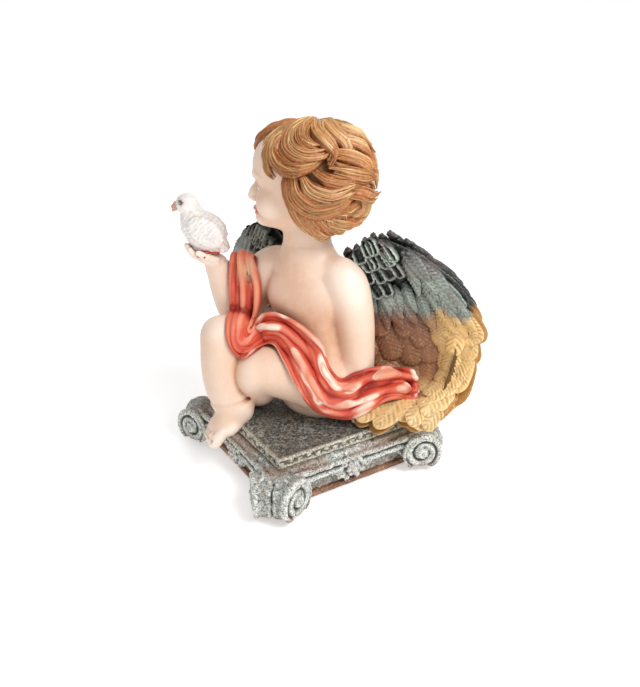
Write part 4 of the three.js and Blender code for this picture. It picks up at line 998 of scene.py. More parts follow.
    # Reddish brown over the inner half, partly paint and partly painted shade, with shaded ochre on the
    # crests.
    inner_red_brown_and_shade = mix(np.broadcast_to(RED_BROWN_AND_SHADE, shape), OCHRE_SHADE * 1.35,
        np.clip(crest * 0.8 * ramp(vs[:, None], 0.4, 0.7), 0, 1))
    paint = mix(paint, inner_red_brown_and_shade, np.clip(inner * 0.94, 0, 1) * np.ones_like(crest))
    sheets.add(grid, np.clip(paint * (1 + rng.uniform(-0.14, 0.14)), 0, 1))


FEATHER_ROWS = [  # v of the roots, length, half width, count, lift at root and tip, thickness, how pointed
    (0.62, 0.40, 5.4, 4, (0.5, 0.9), 1.1, 0.15),
    (0.54, 0.29, 4.9, 5, (0.9, 1.7), 1.2, 0.1),
    (0.45, 0.21, 4.5, 6, (1.3, 2.4), 1.2, 0.0),
    (0.36, 0.19, 3.9, 7, (1.7, 3.0), 1.2, 0.1),
    (0.29, 0.18, 2.5, 10, (1.9, 4.0), 1.4, 0.75),
    (0.23, 0.17, 2.1, 11, (2.2, 4.6), 1.4, 0.85),
    (0.17, 0.15, 2.0, 11, (2.4, 4.8), 1.4, 0.85),
    (0.11, 0.14, 1.9, 11, (2.5, 4.9), 1.4, 0.85),
    (0.05, 0.13, 1.9, 11, (2.5, 4.9), 1.4, 0.8),
    (-0.01, 0.12, 2.0, 11, (2.4, 4.8), 1.4, 0.7),
]
KNOT = [  # cupped coverts on the inner half of the ridge: where each starts and ends as (u, v), half width
    (0.20, -0.02, 0.27, 0.08, 2.2), (0.29, -0.04, 0.35, 0.05, 2.1), (0.38, -0.04, 0.44, 0.04, 2.1),
    (0.47, -0.04, 0.53, 0.04, 2.0),
    (0.56, -0.04, 0.62, 0.03, 1.8), (0.24, 0.05, 0.30, 0.14, 2.5), (0.34, 0.03, 0.39, 0.13, 2.4),
    (0.43, 0.02, 0.49, 0.11, 2.3),
    (0.52, 0.02, 0.59, 0.10, 2.0), (0.23, 0.13, 0.29, 0.22, 2.4), (0.32, 0.12, 0.38, 0.21, 2.3),
    (0.42, 0.10, 0.48, 0.19, 2.1),
    (0.52, 0.09, 0.58, 0.17, 1.8), (0.27, 0.20, 0.33, 0.28, 2.1), (0.37, 0.19, 0.43, 0.27, 2.0),
    (0.15, 0.06, 0.21, 0.16, 2.3),
    (0.14, 0.17, 0.20, 0.26, 2.3),
]


def wing_feathers(sheets, front):
    side = 0 if front else 500
    for row, (v, long, width, count, lift, thick, sharp) in enumerate(FEATHER_ROWS):
        rng = np.random.default_rng(40 + row + side)
        for n in range(count):
            u = 0.04 + 0.92 * (n + 0.5 + 0.25 * (row % 2)) / count + rng.uniform(-0.015, 0.015)
            fan = 0.16 * ramp(u, 0.55, 1.0) - 0.05 * (1 - ramp(u, 0, 0.4))
            fan = fan * (1 - 0.7 * ramp(v, 0.5, 0.62)) + 0.07 * sharp * rng.uniform(-1, 1) + 0.06 * sharp
            begin = v + rng.uniform(-0.02, 0.02)
            if front and sharp > 0.5 and 0.24 < u < 0.66 - 0.5 * max(v, 0) and v < 0.22:
                continue
            finish = begin + long * rng.uniform(0.92, 1.06)
            if row == 0:
                finish = min(finish, 1.0 + 0.03 * math.sin(2.6 * n))
            add_feather(sheets, (u, begin), (min(u + fan, 1.06), finish), width, front, lift,
                row * 31 + n + side,
                        thick=thick, sharp=sharp, bow=0.02 * rng.uniform(-1, 1))
    for n, v in enumerate(np.arange(0.06, 0.84, 0.075)):
        rng = np.random.default_rng(300 + n + side)
        width = 2.4 + 1.6 * ramp(v, 0.2, 0.5)
        add_feather(sheets, (0.72, v), (1.05, v + 0.13 + 0.02 * rng.uniform(-1, 1)), width, front,
            (0.4, 1.6), 700 + n + side,
                    thick=1.4, sharp=0.5 * (1 - ramp(v, 0.25, 0.4)))
        add_feather(sheets, (0.66, v - 0.03), (0.95, v + 0.1), width * 0.9, front, (0.9, 2.3),
            800 + n + side, thick=1.3,
                    sharp=0.5 * (1 - ramp(v, 0.25, 0.4)))
    for n, v in enumerate(np.arange(0.34, 0.88, 0.08)):  # scalloped ends along the outer edge
        rng = np.random.default_rng(360 + n + side)
        for k, (u0, u1, lift) in enumerate(((0.90, 0.87, 2.9), (0.80, 0.76, 2.4), (0.99, 0.96, 2.2))):
            u0, start = u0 + rng.uniform(-0.02, 0.02), v + 0.03 * k + rng.uniform(-0.015, 0.015)
            add_feather(sheets, (u0, start), (u1, start + 0.15), 3.4 + rng.uniform(-0.4, 0.4), front,
                (lift - 0.7, lift + 0.7),
                        1000 + 7 * n + k + side, thick=1.4)
    for n, (u0, v0, u1, v1) in enumerate(((0.88, 0.44, 0.85, 0.60), (0.86, 0.53, 0.82, 0.69),
            (0.83, 0.62, 0.78, 0.78), (0.79, 0.71, 0.73, 0.87))):
        add_feather(sheets, (u0, v0), (u1, v1), 3.4, front, (2.8, 4.4), 1300 + n + side, thick=1.4)
    if front:
        for n, (u0, v0, u1, v1, width) in enumerate(KNOT):
            rng = np.random.default_rng(880 + n)
            (u0, u1), (v0, v1) = np.array([u0, u1 + 0.03 * rng.uniform(-1, 1)]) + 0.022 * rng.uniform(-1,
                1), np.array([v0, v1]) + 0.018 * rng.uniform(-1, 1)
            width = width * rng.uniform(0.8, 1.2)
            add_feather(sheets, (u0, v0), (u1, v1), width, True, (3.6, 6.2 - 2 * u0), 900 + n, thick=1.7,
                cup=1.0)


def wing_core():
    """The sheet itself, as a thin closed leaf under the feathers."""
    count = 60
    u, v = np.meshgrid(np.linspace(0, 1, count), np.linspace(0, 0.93, count), indexing="ij")
    middle, out = wing_sheet(u, v), wing_normal(u, v)
    edge = 1 - np.maximum(np.abs(2 * u - 1) ** 8, np.abs(2 * v / 0.93 - 1) ** 8)
    half = 0.6 * np.sqrt(np.clip(edge, 0.01, 1))[..., None]
    return np.concatenate([middle + out * half, (middle - out * half)[:, ::-1]], axis=1), u, v


def to_right(p):
    """The left wing's points, mirrored in the plane of the spine and swung back about the root."""
    q = p - 2 * ((p - SPINE) @ LEFT)[:, None] * LEFT
    root = WING_ROWS[0, 0] - 2 * ((WING_ROWS[0, 0] - SPINE) @ LEFT) * LEFT
    c, s = math.cos(SWEEP), math.sin(SWEEP)
    return root + (q - root) @ np.array([[c, -s, 0], [s, c, 0], [0, 0, 1]]).T


def build_wings():
    material = feather_material()
    for name, turn in (("left_wing", None), ("right_wing", to_right)):
        sheets = Sheets()
        wing_feathers(sheets, True)
        wing_feathers(sheets, False)
        core, u, v = wing_core()
        # The core between the feathers is painted dark, as painted shade.
        tone = mix(SLATE * 0.5, mix(RED_BROWN_AND_SHADE, OCHRE * 0.7, ramp(u, 0.6, 0.75)), ramp(v, 0.34, 0.5))
        sheets.add(core, np.concatenate([tone, tone[:, ::-1]], axis=1))
        if turn:
            sheets.points = [turn(p) for p in sheets.points]
            sheets.faces = [f[:, ::-1] for f in sheets.faces]
        ob = sheets.build(f"{name}_feathers", material)
        place(ob, "feather_paint", name)


# ---------------------------------------------------------------- the dove
PEARL = np.array([0.80, 0.76, 0.72])
PEARL_SHADE = np.array([0.56, 0.45, 0.38])
FLESH = np.array([0.56, 0.30, 0.22])
CLAW = np.array([0.55, 0.06, 0.045])
DOVE = np.array([-27.2, -27.5, 60.2])  # between its feet
DOVE_TURN = math.radians(-33)
DOVE_AXES = np.array([
    [math.cos(DOVE_TURN), math.sin(DOVE_TURN), 0],
    [-math.sin(DOVE_TURN), math.cos(DOVE_TURN), 0],
    [0, 0, 1],
])  # rows: its left, its back and up


def on_dove(*local):
    return DOVE + np.array(local, float) @ DOVE_AXES


def to_dove(p):
    return (p - DOVE) @ DOVE_AXES.T


def sculpt_dove():
    clay = Clay(DOVE - [17, 17, 4], DOVE + [17, 17, 26], 0.22)
    lean = np.array([[1, 0, 0], unit([0, 0.66, -0.75]), unit([0, 0.75, 0.66])]) @ DOVE_AXES
    clay.add(egg(on_dove(0, 1.0, 6.8), (6.6, 8.2, 6.9), lean))
    clay.add(egg(on_dove(0, -2.4, 9.8), (5.0, 5.0, 5.2), DOVE_AXES), 2.0)
    clay.add(bar(on_dove(0, -2.2, 11), on_dove(0, -4.3, 16.2), 4.3, 3.5), 1.8)
    clay.add(egg(on_dove(0, -4.6, 17.2), (3.7, 4.1, 3.7), DOVE_AXES), 1.2)
    clay.add(bar(on_dove(0, 4.4, 4.2), on_dove(0, 6.6, 2.2), 4.2, 2.8), 1.5)
    for side in (-1, 1):
        clay.add(bar(on_dove(side * 2.3, 2.4, 1.5), on_dove(side * 2.4, 2.4, -1.4), 1.9, 0.8), 0.8)
        clay.add(egg(on_dove(side * 2.9, -6.3, 18.1), (1.2, 1.2, 1.2)), 0.25)
        wing = np.array([unit([1, 0.05 * side, 0.12]), unit([side * 0.1, 0.78, -0.6]),
            unit([0, 0.6, 0.78])]) @ DOVE_AXES
        clay.add(egg(on_dove(side * 5.5, 2.2, 7.8), (1.7, 7.2, 4.6), wing), 0.45)
        for n in range(3):
            a = on_dove(side * (6.3 - 0.7 * n), 4.0 + n, 6.6 - 1.0 * n)
            b = on_dove(side * (3.4 - 0.7 * n), 8.0 + 0.4 * n, 2.2 - 0.7 * n)
            clay.add(bar(a, b, 1.5, 0.85), 0.25)
    for n in range(5):
        x = (n - 2) * 1.35
        clay.add(bar(on_dove(x * 0.6, 5.4, 3.0), on_dove(x * 1.2, 8.6 - abs(x) * 0.35, 0.6), 1.1, 0.9), 0.2)
    p = clay.everywhere()
    q = to_dove(p)
    q = q.astype(np.float32)
    around = np.arctan2(q[..., 0], -q[..., 1] - 0.2 * q[..., 2] + 2.0)
    rows = q[..., 2] * 0.8 - 0.45 * q[..., 1]
    beside = np.cos(around * 9 + np.pi * np.round(rows * 0.41))
    scale = np.cos(rows * 3.4 + 0.9 * np.cos(around * 9)) * beside * 0.2
    breast = ramp(q[..., 2], 2, 5) * (1 - ramp(q[..., 2], 15, 17))
    clay.d += (scale * breast).astype(np.float32) + (noise(p, 1.0, 6) * 0.07).astype(np.float32)
    return clay


def dove_paint(clay, p):
    q = to_dove(p)
    hollow = clay.hollow(p, 0.7)
    paint = mix(PEARL, PEARL_SHADE, np.clip(ramp(hollow, 0.51, 0.64) * 0.8 + 0.12 * noise(p, 2.5, 3), 0, 1))
    paint = mix(paint, np.array([0.78, 0.62, 0.60]), 0.35 * ramp(noise(p, 5, 9), 0.1, 0.6))
    for side in (-1, 1):
        away = np.linalg.norm((q - [side * 3.9, -6.3, 18.1]) * [0.4, 1, 1], axis=1)
        paint = mix(paint, np.array([0.42, 0.30, 0.24]),
            (1 - ramp(away, 1.3, 1.55)) * ramp(away, 1.05, 1.2) * 0.7)
        paint = mix(paint, np.array([0.012, 0.01, 0.01]), 1 - ramp(away, 0.9, 1.05))
    paint = mix(paint, FLESH, 0.75 * blush(q, (0, -8.9, 16.6), 1.6))
    return np.clip(paint, 0, 1)


def sculpt_beak():
    clay = Clay(on_dove(0, -10, 16) - [5, 5, 4], on_dove(0, -10, 16) + [5, 5, 4], 0.12)
    clay.add(bar(on_dove(0, -7.8, 16.9), on_dove(0, -9.6, 16.1), 1.5, 0.9))
    clay.add(bar(on_dove(0, -9.4, 16.0), on_dove(0, -9.9, 14.6), 0.9, 0.35), 0.3)
    clay.add(bar(on_dove(0, -7.8, 15.8), on_dove(0, -9.6, 14.9), 1.1, 0.4), 0.12)
    for side in (-1, 1):
        clay.add(egg(on_dove(side * 0.6, -8.6, 17.5), (0.75, 0.95, 0.55), DOVE_AXES), 0.2)
    return clay


def sculpt_claws():
    clay = Clay(DOVE - [10, 10, 6], DOVE + [10, 10, 5], 0.18)
    for side in (-1, 1):
        ankle = on_dove(side * 2.8, 3.0, 0.4)
        clay.add(bar(ankle, ankle + [0, 0, 1.8], 0.8, 0.75))
        for turn, reach in ((-0.6, 3.8), (0, 4.6), (0.6, 3.8), (math.pi, 3.0)):
            way = np.array([math.sin(turn + 0.55 * side), -math.cos(turn + 0.55 * side), 0]) @ DOVE_AXES
            knuckle = ankle + way * reach * 0.55 + [0, 0, -0.2]
            tip = ankle + way * reach + [0, 0, -1.5]
            clay.add(bar(ankle, knuckle, 0.78, 0.72), 0.35)
            clay.add(bar(knuckle, tip, 0.72, 0.42), 0.15)
    return clay


def build_dove():
    clay = sculpt_dove()
    points, faces = clay_mesh(clay)
    place(make_mesh("dove_body", points, faces, dove_paint(clay, points), material=dove_material()),
        "dove_white", "dove")
    for name, node, slot, clay, tint in (
        ("dove_bill", "dove_beak", "beak_paint", sculpt_beak(), FLESH),
        ("dove_claws", "dove_feet", "claw_paint", sculpt_claws(), CLAW),
    ):
        points, faces = clay_mesh(clay)
        # Painted shade: darker in the hollows.
        paint = mix(tint, tint * 0.35, ramp(clay.hollow(points, 0.5), 0.5, 0.7))
        place(make_mesh(name, points, faces, paint, material=enamel_material(name)), slot, node)


# ---------------------------------------------------------------- the capital
STONE = np.array([0.30, 0.31, 0.285])
STONE_PALE_AND_HIGHLIGHT = np.array([0.76, 0.78, 0.72])
STONE_PITS_AND_SHADE = np.array([0.050, 0.052, 0.045])
RUSTY = np.array([0.27, 0.115, 0.055])
FLOWER = np.array([0.66, 0.65, 0.60])
FLOOR_Z = -SLAB_TOP
EYE_Z = FLOOR_Z + 8.5  # the middle of the scrolls
CURL_RADIUS = 7.8
LEAF_Z = FLOOR_Z + 8.8  # the middle of the leaf sprays
BLOCK_FOOT, BLOCK_TOP = 2.9, 15.4  # above the floor
CUSHION_HALF = 30.4  # of the moulded rails, at the middle of a side
FLARE = math.radians(22)  # of each scroll, away from its face
SLAB_HALF, RIM_HALF = 28.7, 29.6


def quarter_turns():
    """The four corners: the turn that brings each onto the +X, -Y one, as pairs of axes in the plane."""
    for n in range(4):
        c, s = round(math.cos(n * math.pi / 2)), round(math.sin(n * math.pi / 2))
        yield n, np.array([[c, s, 0], [-s, c, 0], [0, 0, 1]], np.float32)


def spiral_relief(dx, dz, radius):
    """The height of the coiled band on a volute's disc: dx towards the corner, dz up, from the eye."""
    r = np.hypot(dx, dz)
    turn = np.arctan2(dz, dx)
    pitch = 3.3
    phase = (radius - r) / pitch - (turn - math.pi / 2) / (2 * math.pi)
    groove = np.exp(-(((phase - np.round(phase)) / 0.15) ** 2))
    eye = ramp(-r, -2.5, -1.6)
    return np.where(r < radius - 0.9, groove * (1 - eye), 0) * ramp(-r, -radius + 0.2,
        -radius + 1.6) - 0.55 * eye


def sculpt_capital():
    low, high = np.array([-44.5, -44.5, FLOOR_Z + 2.6]), np.array([44.5, 44.5, -3.4])
    clay = Clay(low, high, 0.36)
    p = clay.everywhere()
    x, y, z = (p[..., n] for n in range(3))
    far, near = np.maximum(np.abs(x), np.abs(y)), np.minimum(np.abs(x), np.abs(y))
    up = z - FLOOR_Z
    bell = 28.4 + 1.6 * ramp(up, 8, 12)
    body = np.maximum(far - bell, np.maximum(BLOCK_FOOT - up, up - BLOCK_TOP)).astype(np.float32)
    clay.d = np.minimum(clay.d, body)
    diagonal = (np.abs(x) + np.abs(y)) * 0.7071
    corner = ramp(near, 14, 31)
    swell = CUSHION_HALF + 6.6 * np.clip(near / 32, 0, 1) ** 3
    top = BLOCK_TOP - 3.6 * ramp(far, 28.2, 35) * (1 - 0.75 * corner) - 0.8 * ramp(diagonal, 44, 51)
    cushion = np.maximum(far - swell, np.maximum(up - top, 10.4 - 7.4 * corner - up))
    cushion = -soft_min(-cushion, 50.6 - diagonal, 1.5)
    clay.d = soft_min(clay.d, cushion.astype(np.float32), 1.6)
    for n, turn in quarter_turns():
        q = p @ turn.T
        qx, qy = q[..., 0], q[..., 1]
        dz = q[..., 2] - EYE_Z
        at_out, at_along = (38.4, 26.6) if n == 0 else (37.9, 28.0)
        for flip in (False, True):
            u, v = (qx, -qy) if not flip else (-qy, qx)  # u leaves the face, v runs along it to the corner
            du, dv = u - at_out, v - at_along
            depth = du * math.cos(FLARE) - dv * math.sin(FLARE)
            lateral = du * math.sin(FLARE) + dv * math.cos(FLARE)
            radius = CURL_RADIUS - 0.5 * np.exp(-(((depth + 4.2) / 2.2) ** 2))
            disc = np.hypot(lateral, dz) - radius
            relief = spiral_relief(lateral, dz, CURL_RADIUS)
            plate = np.abs(depth + 4.4) - (4.4 - 1.25 * relief * ramp(depth, -4.2, -3))
            drum = -soft_min(-disc, -plate, 1.2)
            drum = np.maximum(drum, 2.6 - up)
            clay.d = soft_min(clay.d, drum.astype(np.float32), 0.9)
        seam = np.abs(qx + qy) * 0.7071
        trench = np.maximum(seam - 0.1, np.maximum(48.4 - 1.2 * ramp(up, 6, 14) - diagonal, -(qx - qy)))
        clay.d = -soft_min(-clay.d, trench.astype(np.float32), 1.3)
    for _, turn in quarter_turns():
        q = p @ turn.T
        u, v = q[..., 0], q[..., 1]
        share = np.clip(np.abs(v) / 28, 0, 1)
        for k in (0, 1):
            height = 12.4 - 2.7 * k + 2.6 * share**2.5
            edge = u - CUSHION_HALF - 6.0 * np.clip(np.abs(v) / 32, 0, 1) ** 3
            ridge = np.hypot(q[..., 2] - FLOOR_Z - height, edge * 0.8) - 1.15
            clay.d = soft_min(clay.d, np.maximum(ridge, np.abs(v) - 30).astype(np.float32), 0.45)
    for _, turn in quarter_turns():
        def spot(*local, turn=turn):
            return np.array(local, np.float32) @ turn

        for side in (-1, 1):
            for reach, rise, size in ((6.6, 1.2, 1.7), (5.6, -2.4, 1.5), (4.2, 3.2, 1.5), (2.6, -4.6, 1.4),
                    (8.4, -0.4, 1.2)):
                a = spot(30.6, side * 1.2, LEAF_Z)
                b = spot(30.9, side * reach, LEAF_Z + rise)
                clay.add(bar(a, b, size * 0.7, size * 0.42), 0.3)
                clay.add(egg((a * 0.3 + b * 0.7), (size, size, size * 0.9)), 0.4)
        for k in range(6):
            turn_k = k / 6 * 2 * math.pi
            centre = spot(31.8, 2.0 * math.cos(turn_k), LEAF_Z + 2.0 * math.sin(turn_k))
            clay.add(egg(centre, (1.25, 1.25, 1.25)), 0.15)
        clay.add(egg(spot(32.6, 0, LEAF_Z), (1.1, 1.1, 1.1)), 0.1)
    rough = noise(p, 2.6, 11) * 0.16 + noise(p, 1.2, 12) * 0.16 + 0.3 * ramp(noise(p, 1.5, 13), 0.4, 0.7)
    clay.d += rough.astype(np.float32)
    return clay


def capital_paint(clay, p):
    wide, fine = clay.hollow(p, 3.4), clay.hollow(p, 1.0)
    up = p[:, 2] - FLOOR_Z
    cloud = noise(p, 7, 21) * 0.6 + noise(p, 3, 22) * 0.4
    # Paler on the fine ridges as painted highlight, and paler in clouds of the stone's own tone.
    paint = mix(STONE, STONE_PALE_AND_HIGHLIGHT, np.clip(ramp(-fine, -0.5, -0.38) * 0.9 + 0.25 * cloud + 0.25, 0, 1))
    # Darker in the fine pits and creases, partly dark paint and partly painted shade, and painted shade in
    # the broad hollows.
    paint = mix(paint, STONE_PITS_AND_SHADE, np.clip(ramp(fine, 0.535, 0.66) * 0.95 + ramp(wide, 0.6, 0.78) * 0.5, 0,
        1))
    far, near = np.abs(p[:, :2]).max(1), np.abs(p[:, :2]).min(1)
    wash = ramp(up, 11.8, 14.0) * (1 - ramp(far, 31.0, 34.5)) * ramp(cloud, -0.5, 0.3)
    wash = np.clip(wash + 0.6 * (1 - ramp(far, 28.9, 29.8)) * ramp(cloud, -0.1, 0.5), 0, 1)
    paint = mix(paint, RUSTY, 0.62 * wash)
    petal = (far > 30.9) * (near < 9.5) * (1 - ramp(np.abs(up - 8.8), 4.6, 6.0))
    paint = mix(paint, FLOWER, 0.7 * petal * ramp(-fine, -0.56, -0.4))
    paint = mix(paint, RUSTY * 0.8, (1 - ramp(up, 3.6, 5.4)) * 0.5)
    return np.clip(paint, 0, 1)


def rounded_plate(name, half, low, high, bevel, slot, node, relief, tint, material, step=0.36):
    """A square plate with soft edges. relief(p, face) raises its four sides, tint(p, hollow) paints it."""
    clay = Clay([-half - 2, -half - 2, low - 1.5], [half + 2, half + 2, high + 1.5], step)
    p = clay.everywhere()
    q = np.stack([np.abs(p[..., 0]) - half + bevel, np.abs(p[..., 1]) - half + bevel,
                  np.abs(p[..., 2] - (low + high) / 2) - (high - low) / 2 + bevel], -1)
    d = np.linalg.norm(np.maximum(q, 0), axis=-1) + np.minimum(q.max(-1), 0) - bevel
    clay.d = (d + relief(p)).astype(np.float32)
    points, faces = clay_mesh(clay)
    paint = tint(points, clay.hollow(points, 0.8))
    return place(make_mesh(name, points, faces, paint, material=material), slot, node)


def slab_relief(p):
    """Engraved scrolls along the four sides, and a pitted top."""
    x, y = p[..., 0], p[..., 1]
    along = np.where(np.abs(x) > np.abs(y), y, x)
    mid = p[..., 2] + 2.0
    vine = np.abs(mid - 0.75 * np.sin(along * 0.86))
    leaf = np.hypot(((along / 3.65 + 0.5) % 1 - 0.5) * 3.65, mid + 0.55 * np.sin(along * 0.86)) - 0.55
    line = np.minimum(vine, np.maximum(leaf, -0.1))
    edge = ramp(np.maximum(np.abs(x), np.abs(y)), 27.6, 28.3)
    carved = 0.75 * (1 - ramp(line, 0.2, 0.5)) * edge * ramp(-np.abs(mid), -1.75, -1.35)
    pits = 0.3 * ramp(noise(p, 1.2, 31), 0.4, 0.7) * ramp(p[..., 2], -0.9, -0.4)
    return carved + pits + 0.09 * noise(p, 1.6, 32)


def slab_tint(p, hollow):
    far = np.abs(p[:, :2]).max(1)
    cloud = noise(p, 5, 33) * 0.6 + noise(p, 1.6, 34) * 0.6
    pale, dark = np.array([0.60, 0.56, 0.45]), np.array([0.035, 0.032, 0.026])
    top = ramp(p[:, 2], -0.35, -0.05)
    paint = mix(pale, dark, np.clip(ramp(hollow, 0.515, 0.60), 0, 1) * 0.85)
    speck = ramp(noise(p, 0.75, 35), -0.35, 0.25)
    ground = mix(np.array([0.28, 0.285, 0.25]), dark, speck * 0.8 + 0.1)
    ground = mix(ground, np.array([0.13, 0.125, 0.10]), 0.55 * ramp(cloud, -0.3, 0.5))
    paint = mix(paint, ground, top * (1 - ramp(far, 27.4, 28.2) * 0.75))
    return np.clip(paint, 0, 1)


def rim_relief(p):
    return 0.1 * noise(p, 2.2, 41) + 0.25 * ramp(noise(p, 1.4, 42), 0.45, 0.7)


def rim_tint(p, hollow):
    cloud = noise(p, 5, 43)
    paint = mix(np.array([0.23, 0.095, 0.045]), np.array([0.40, 0.20, 0.10]), ramp(cloud, -0.2, 0.5))
    return mix(paint, np.array([0.07, 0.03, 0.018]), ramp(hollow, 0.51, 0.62))


def build_base():
    material = stone_material()
    clay = sculpt_capital()
    points, faces = clay_mesh(clay)
    corners = [f"corner_scrolls_{c}" for c in ("front_left", "back_left", "back_right", "front_right")]
    place(make_mesh("capital", points, faces, capital_paint(clay, points), material=material), "stone",
        "capital_block", *corners)
    rounded_plate("slab", SLAB_HALF, -4.0, 0.0, 0.7, "slab_stone", "abacus_slab", slab_relief, slab_tint,
        material, 0.3)
    rounded_plate("rim_plate", RIM_HALF, FLOOR_Z + 0.8, FLOOR_Z + 3.0, 0.5, "brown_stone", "bottom_plate",
        rim_relief, rim_tint, material)
    for node, finish in (
        ("felt_pad", felt_material()), ("seat_dowel", dowel_material()), ("left_wing_pin", wire_material()),
        ("right_wing_pin", wire_material()), ("dove_pin", wire_material()),
    ):
        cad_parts[node].data.materials.clear()
        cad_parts[node].data.materials.append(finish)


# ---------------------------------------------------------------- materials
class Shader:
    """A node material built in a few words."""

    def __init__(self, name):
        self.material = bpy.data.materials.new(name)
        self.material.use_nodes = True
        self.nodes, self.links = self.material.node_tree.nodes, self.material.node_tree.links
        self.bsdf = self.nodes["Principled BSDF"]
        self.place = self.nodes.new("ShaderNodeTexCoord").outputs["Object"]

    def put(self, socket, value):
        if isinstance(value, bpy.types.NodeSocket):
            self.links.new(value, socket)
        else:
            socket.default_value = value

    def paint(self):
        """The colours kept at the mesh's points."""
        node = self.nodes.new("ShaderNodeAttribute")
        node.attribute_name = "paint"
        return node.outputs["Color"]

    def noise(self, size, detail=3.0, rough=0.55, stretch=None):
        """Cloudy noise whose lumps are about size mm across."""
        node = self.nodes.new("ShaderNodeTexNoise")
        place = self.place
        if stretch:
            scaled = self.nodes.new("ShaderNodeMapping")
            scaled.inputs["Scale"].default_value = stretch
            self.links.new(place, scaled.inputs["Vector"])
            place = scaled.outputs["Vector"]
        self.links.new(place, node.inputs["Vector"])
        node.inputs["Scale"].default_value = 1 / (size * MM)
        node.inputs["Detail"].default_value = detail
        node.inputs["Roughness"].default_value = rough
        return node.outputs["Fac"]

    def cells(self, size):
        node = self.nodes.new("ShaderNodeTexVoronoi")
        self.links.new(self.place, node.inputs["Vector"])
        node.inputs["Scale"].default_value = 1 / (size * MM)
        return node.outputs["Distance"]

    def band(self, value, low, high, out_low=0.0, out_high=1.0):
        node = self.nodes.new("ShaderNodeMapRange")
        node.interpolation_type = "SMOOTHSTEP"
        for key, v in (("Value", value), ("From Min", low), ("From Max", high), ("To Min", out_low),
                ("To Max", out_high)):
            self.put(node.inputs[key], v)
        return node.outputs["Result"]

    def math(self, kind, a, b):
        node = self.nodes.new("ShaderNodeMath")
        node.operation = kind
        self.put(node.inputs[0], a)
        self.put(node.inputs[1], b)
        return node.outputs[0]

    def mix(self, a, b, share):
        node = self.nodes.new("ShaderNodeMix")
        node.data_type = "RGBA"
        self.put(node.inputs["Factor"], share)
        self.put(node.inputs["A"], (*a, 1) if isinstance(a, tuple) else a)
        self.put(node.inputs["B"], (*b, 1) if isinstance(b, tuple) else b)
        return node.outputs["Result"]

    def wear(self, colour, tint, share, grain, low, high):
        """tint laid over colour where the noise of that grain rises from low to high."""
        return self.mix(colour, tint, self.math("MULTIPLY", self.band(self.noise(*grain), low, high),
            share))

    def sheen(self, size, low, high):
        """Roughness that drifts from low to high in patches of about size mm."""
        return self.band(self.noise(size, 2), 0.3, 0.7, low, high)

    def bump(self, height, depth):
        """Relief of about depth mm."""
        node = self.nodes.new("ShaderNodeBump")
        node.inputs["Strength"].default_value = 1.0
        node.inputs["Distance"].default_value = depth * MM
        self.put(node.inputs["Height"], height)
        return node.outputs["Normal"]

    def finish(self, colour, roughness, normal=None, **constants):
        self.put(self.bsdf.inputs["Base Color"], colour)
        self.put(self.bsdf.inputs["Roughness"], roughness)
        if normal is not None:
            self.put(self.bsdf.inputs["Normal"], normal)
        for key, value in constants.items():
            self.bsdf.inputs[key.replace("_", " ")].default_value = value
        return self.material


def skin_material():
    s = Shader("skin_paint")
    paint = s.paint()
    colour = s.wear(paint, s.mix(paint, (0.93, 0.78, 0.62), 0.5), 0.2, (2.2, 4), 0.42, 0.66)
    colour = s.wear(colour, (0.50, 0.22, 0.11), 0.3, (0.7, 2), 0.66, 0.76)
    return s.finish(colour, s.sheen(5, 0.36, 0.5), s.bump(s.noise(0.55, 3), 0.035), Specular_IOR_Level=0.45)


def hair_material():
    s = Shader("hair_paint")
    colour = s.wear(s.paint(), (0.92, 0.68, 0.30), 0.22, (1.1, 3), 0.5, 0.7)
    colour = s.wear(colour, (0.32, 0.11, 0.025), 0.4, (3.2, 3), 0.55, 0.75)
    return s.finish(colour, s.sheen(2.5, 0.34, 0.52), s.bump(s.noise(0.5, 3), 0.06), Specular_IOR_Level=0.5)


def feather_material():
    s = Shader("feather_paint")
    paint = s.paint()
    colour = s.wear(paint, s.mix(paint, (0.95, 0.88, 0.66), 0.4), 0.45, (0.9, 3), 0.55, 0.72)
    colour = s.wear(colour, (0.10, 0.045, 0.022), 0.42, (2.4, 3), 0.56, 0.74)
    return s.finish(colour, s.sheen(2.0, 0.34, 0.55), s.bump(s.noise(0.45, 3), 0.06),
        Specular_IOR_Level=0.5)


def cloth_material():
    s = Shader("cloth_paint")
    colour = s.wear(s.paint(), (0.86, 0.42, 0.28), 0.3, (1.4, 4, 0.6), 0.58, 0.74)
    colour = s.wear(colour, (0.30, 0.02, 0.012), 0.4, (0.6, 2), 0.68, 0.78)
    return s.finish(colour, s.sheen(2.5, 0.46, 0.62), s.bump(s.noise(0.5, 3), 0.05), Specular_IOR_Level=0.4)


def dove_material():
    s = Shader("dove_paint")
    paint = s.paint()
    colour = s.wear(paint, s.mix(paint, (0.97, 0.95, 0.90), 0.7), 0.5, (1.6, 3), 0.45, 0.65)
    return s.finish(colour, s.sheen(1.2, 0.2, 0.38), s.bump(s.noise(0.5, 3), 0.05),
                    Specular_IOR_Level=0.7, Coat_Weight=0.3, Coat_Roughness=0.2)


def enamel_material(name):
    s = Shader(name + "_paint")
    paint = s.paint()
    colour = s.wear(paint, s.mix(paint, (0.90, 0.55, 0.42), 0.5), 0.5, (0.8, 3), 0.5, 0.7)
    return s.finish(colour, s.sheen(0.9, 0.25, 0.42), s.bump(s.noise(0.4, 2), 0.04))


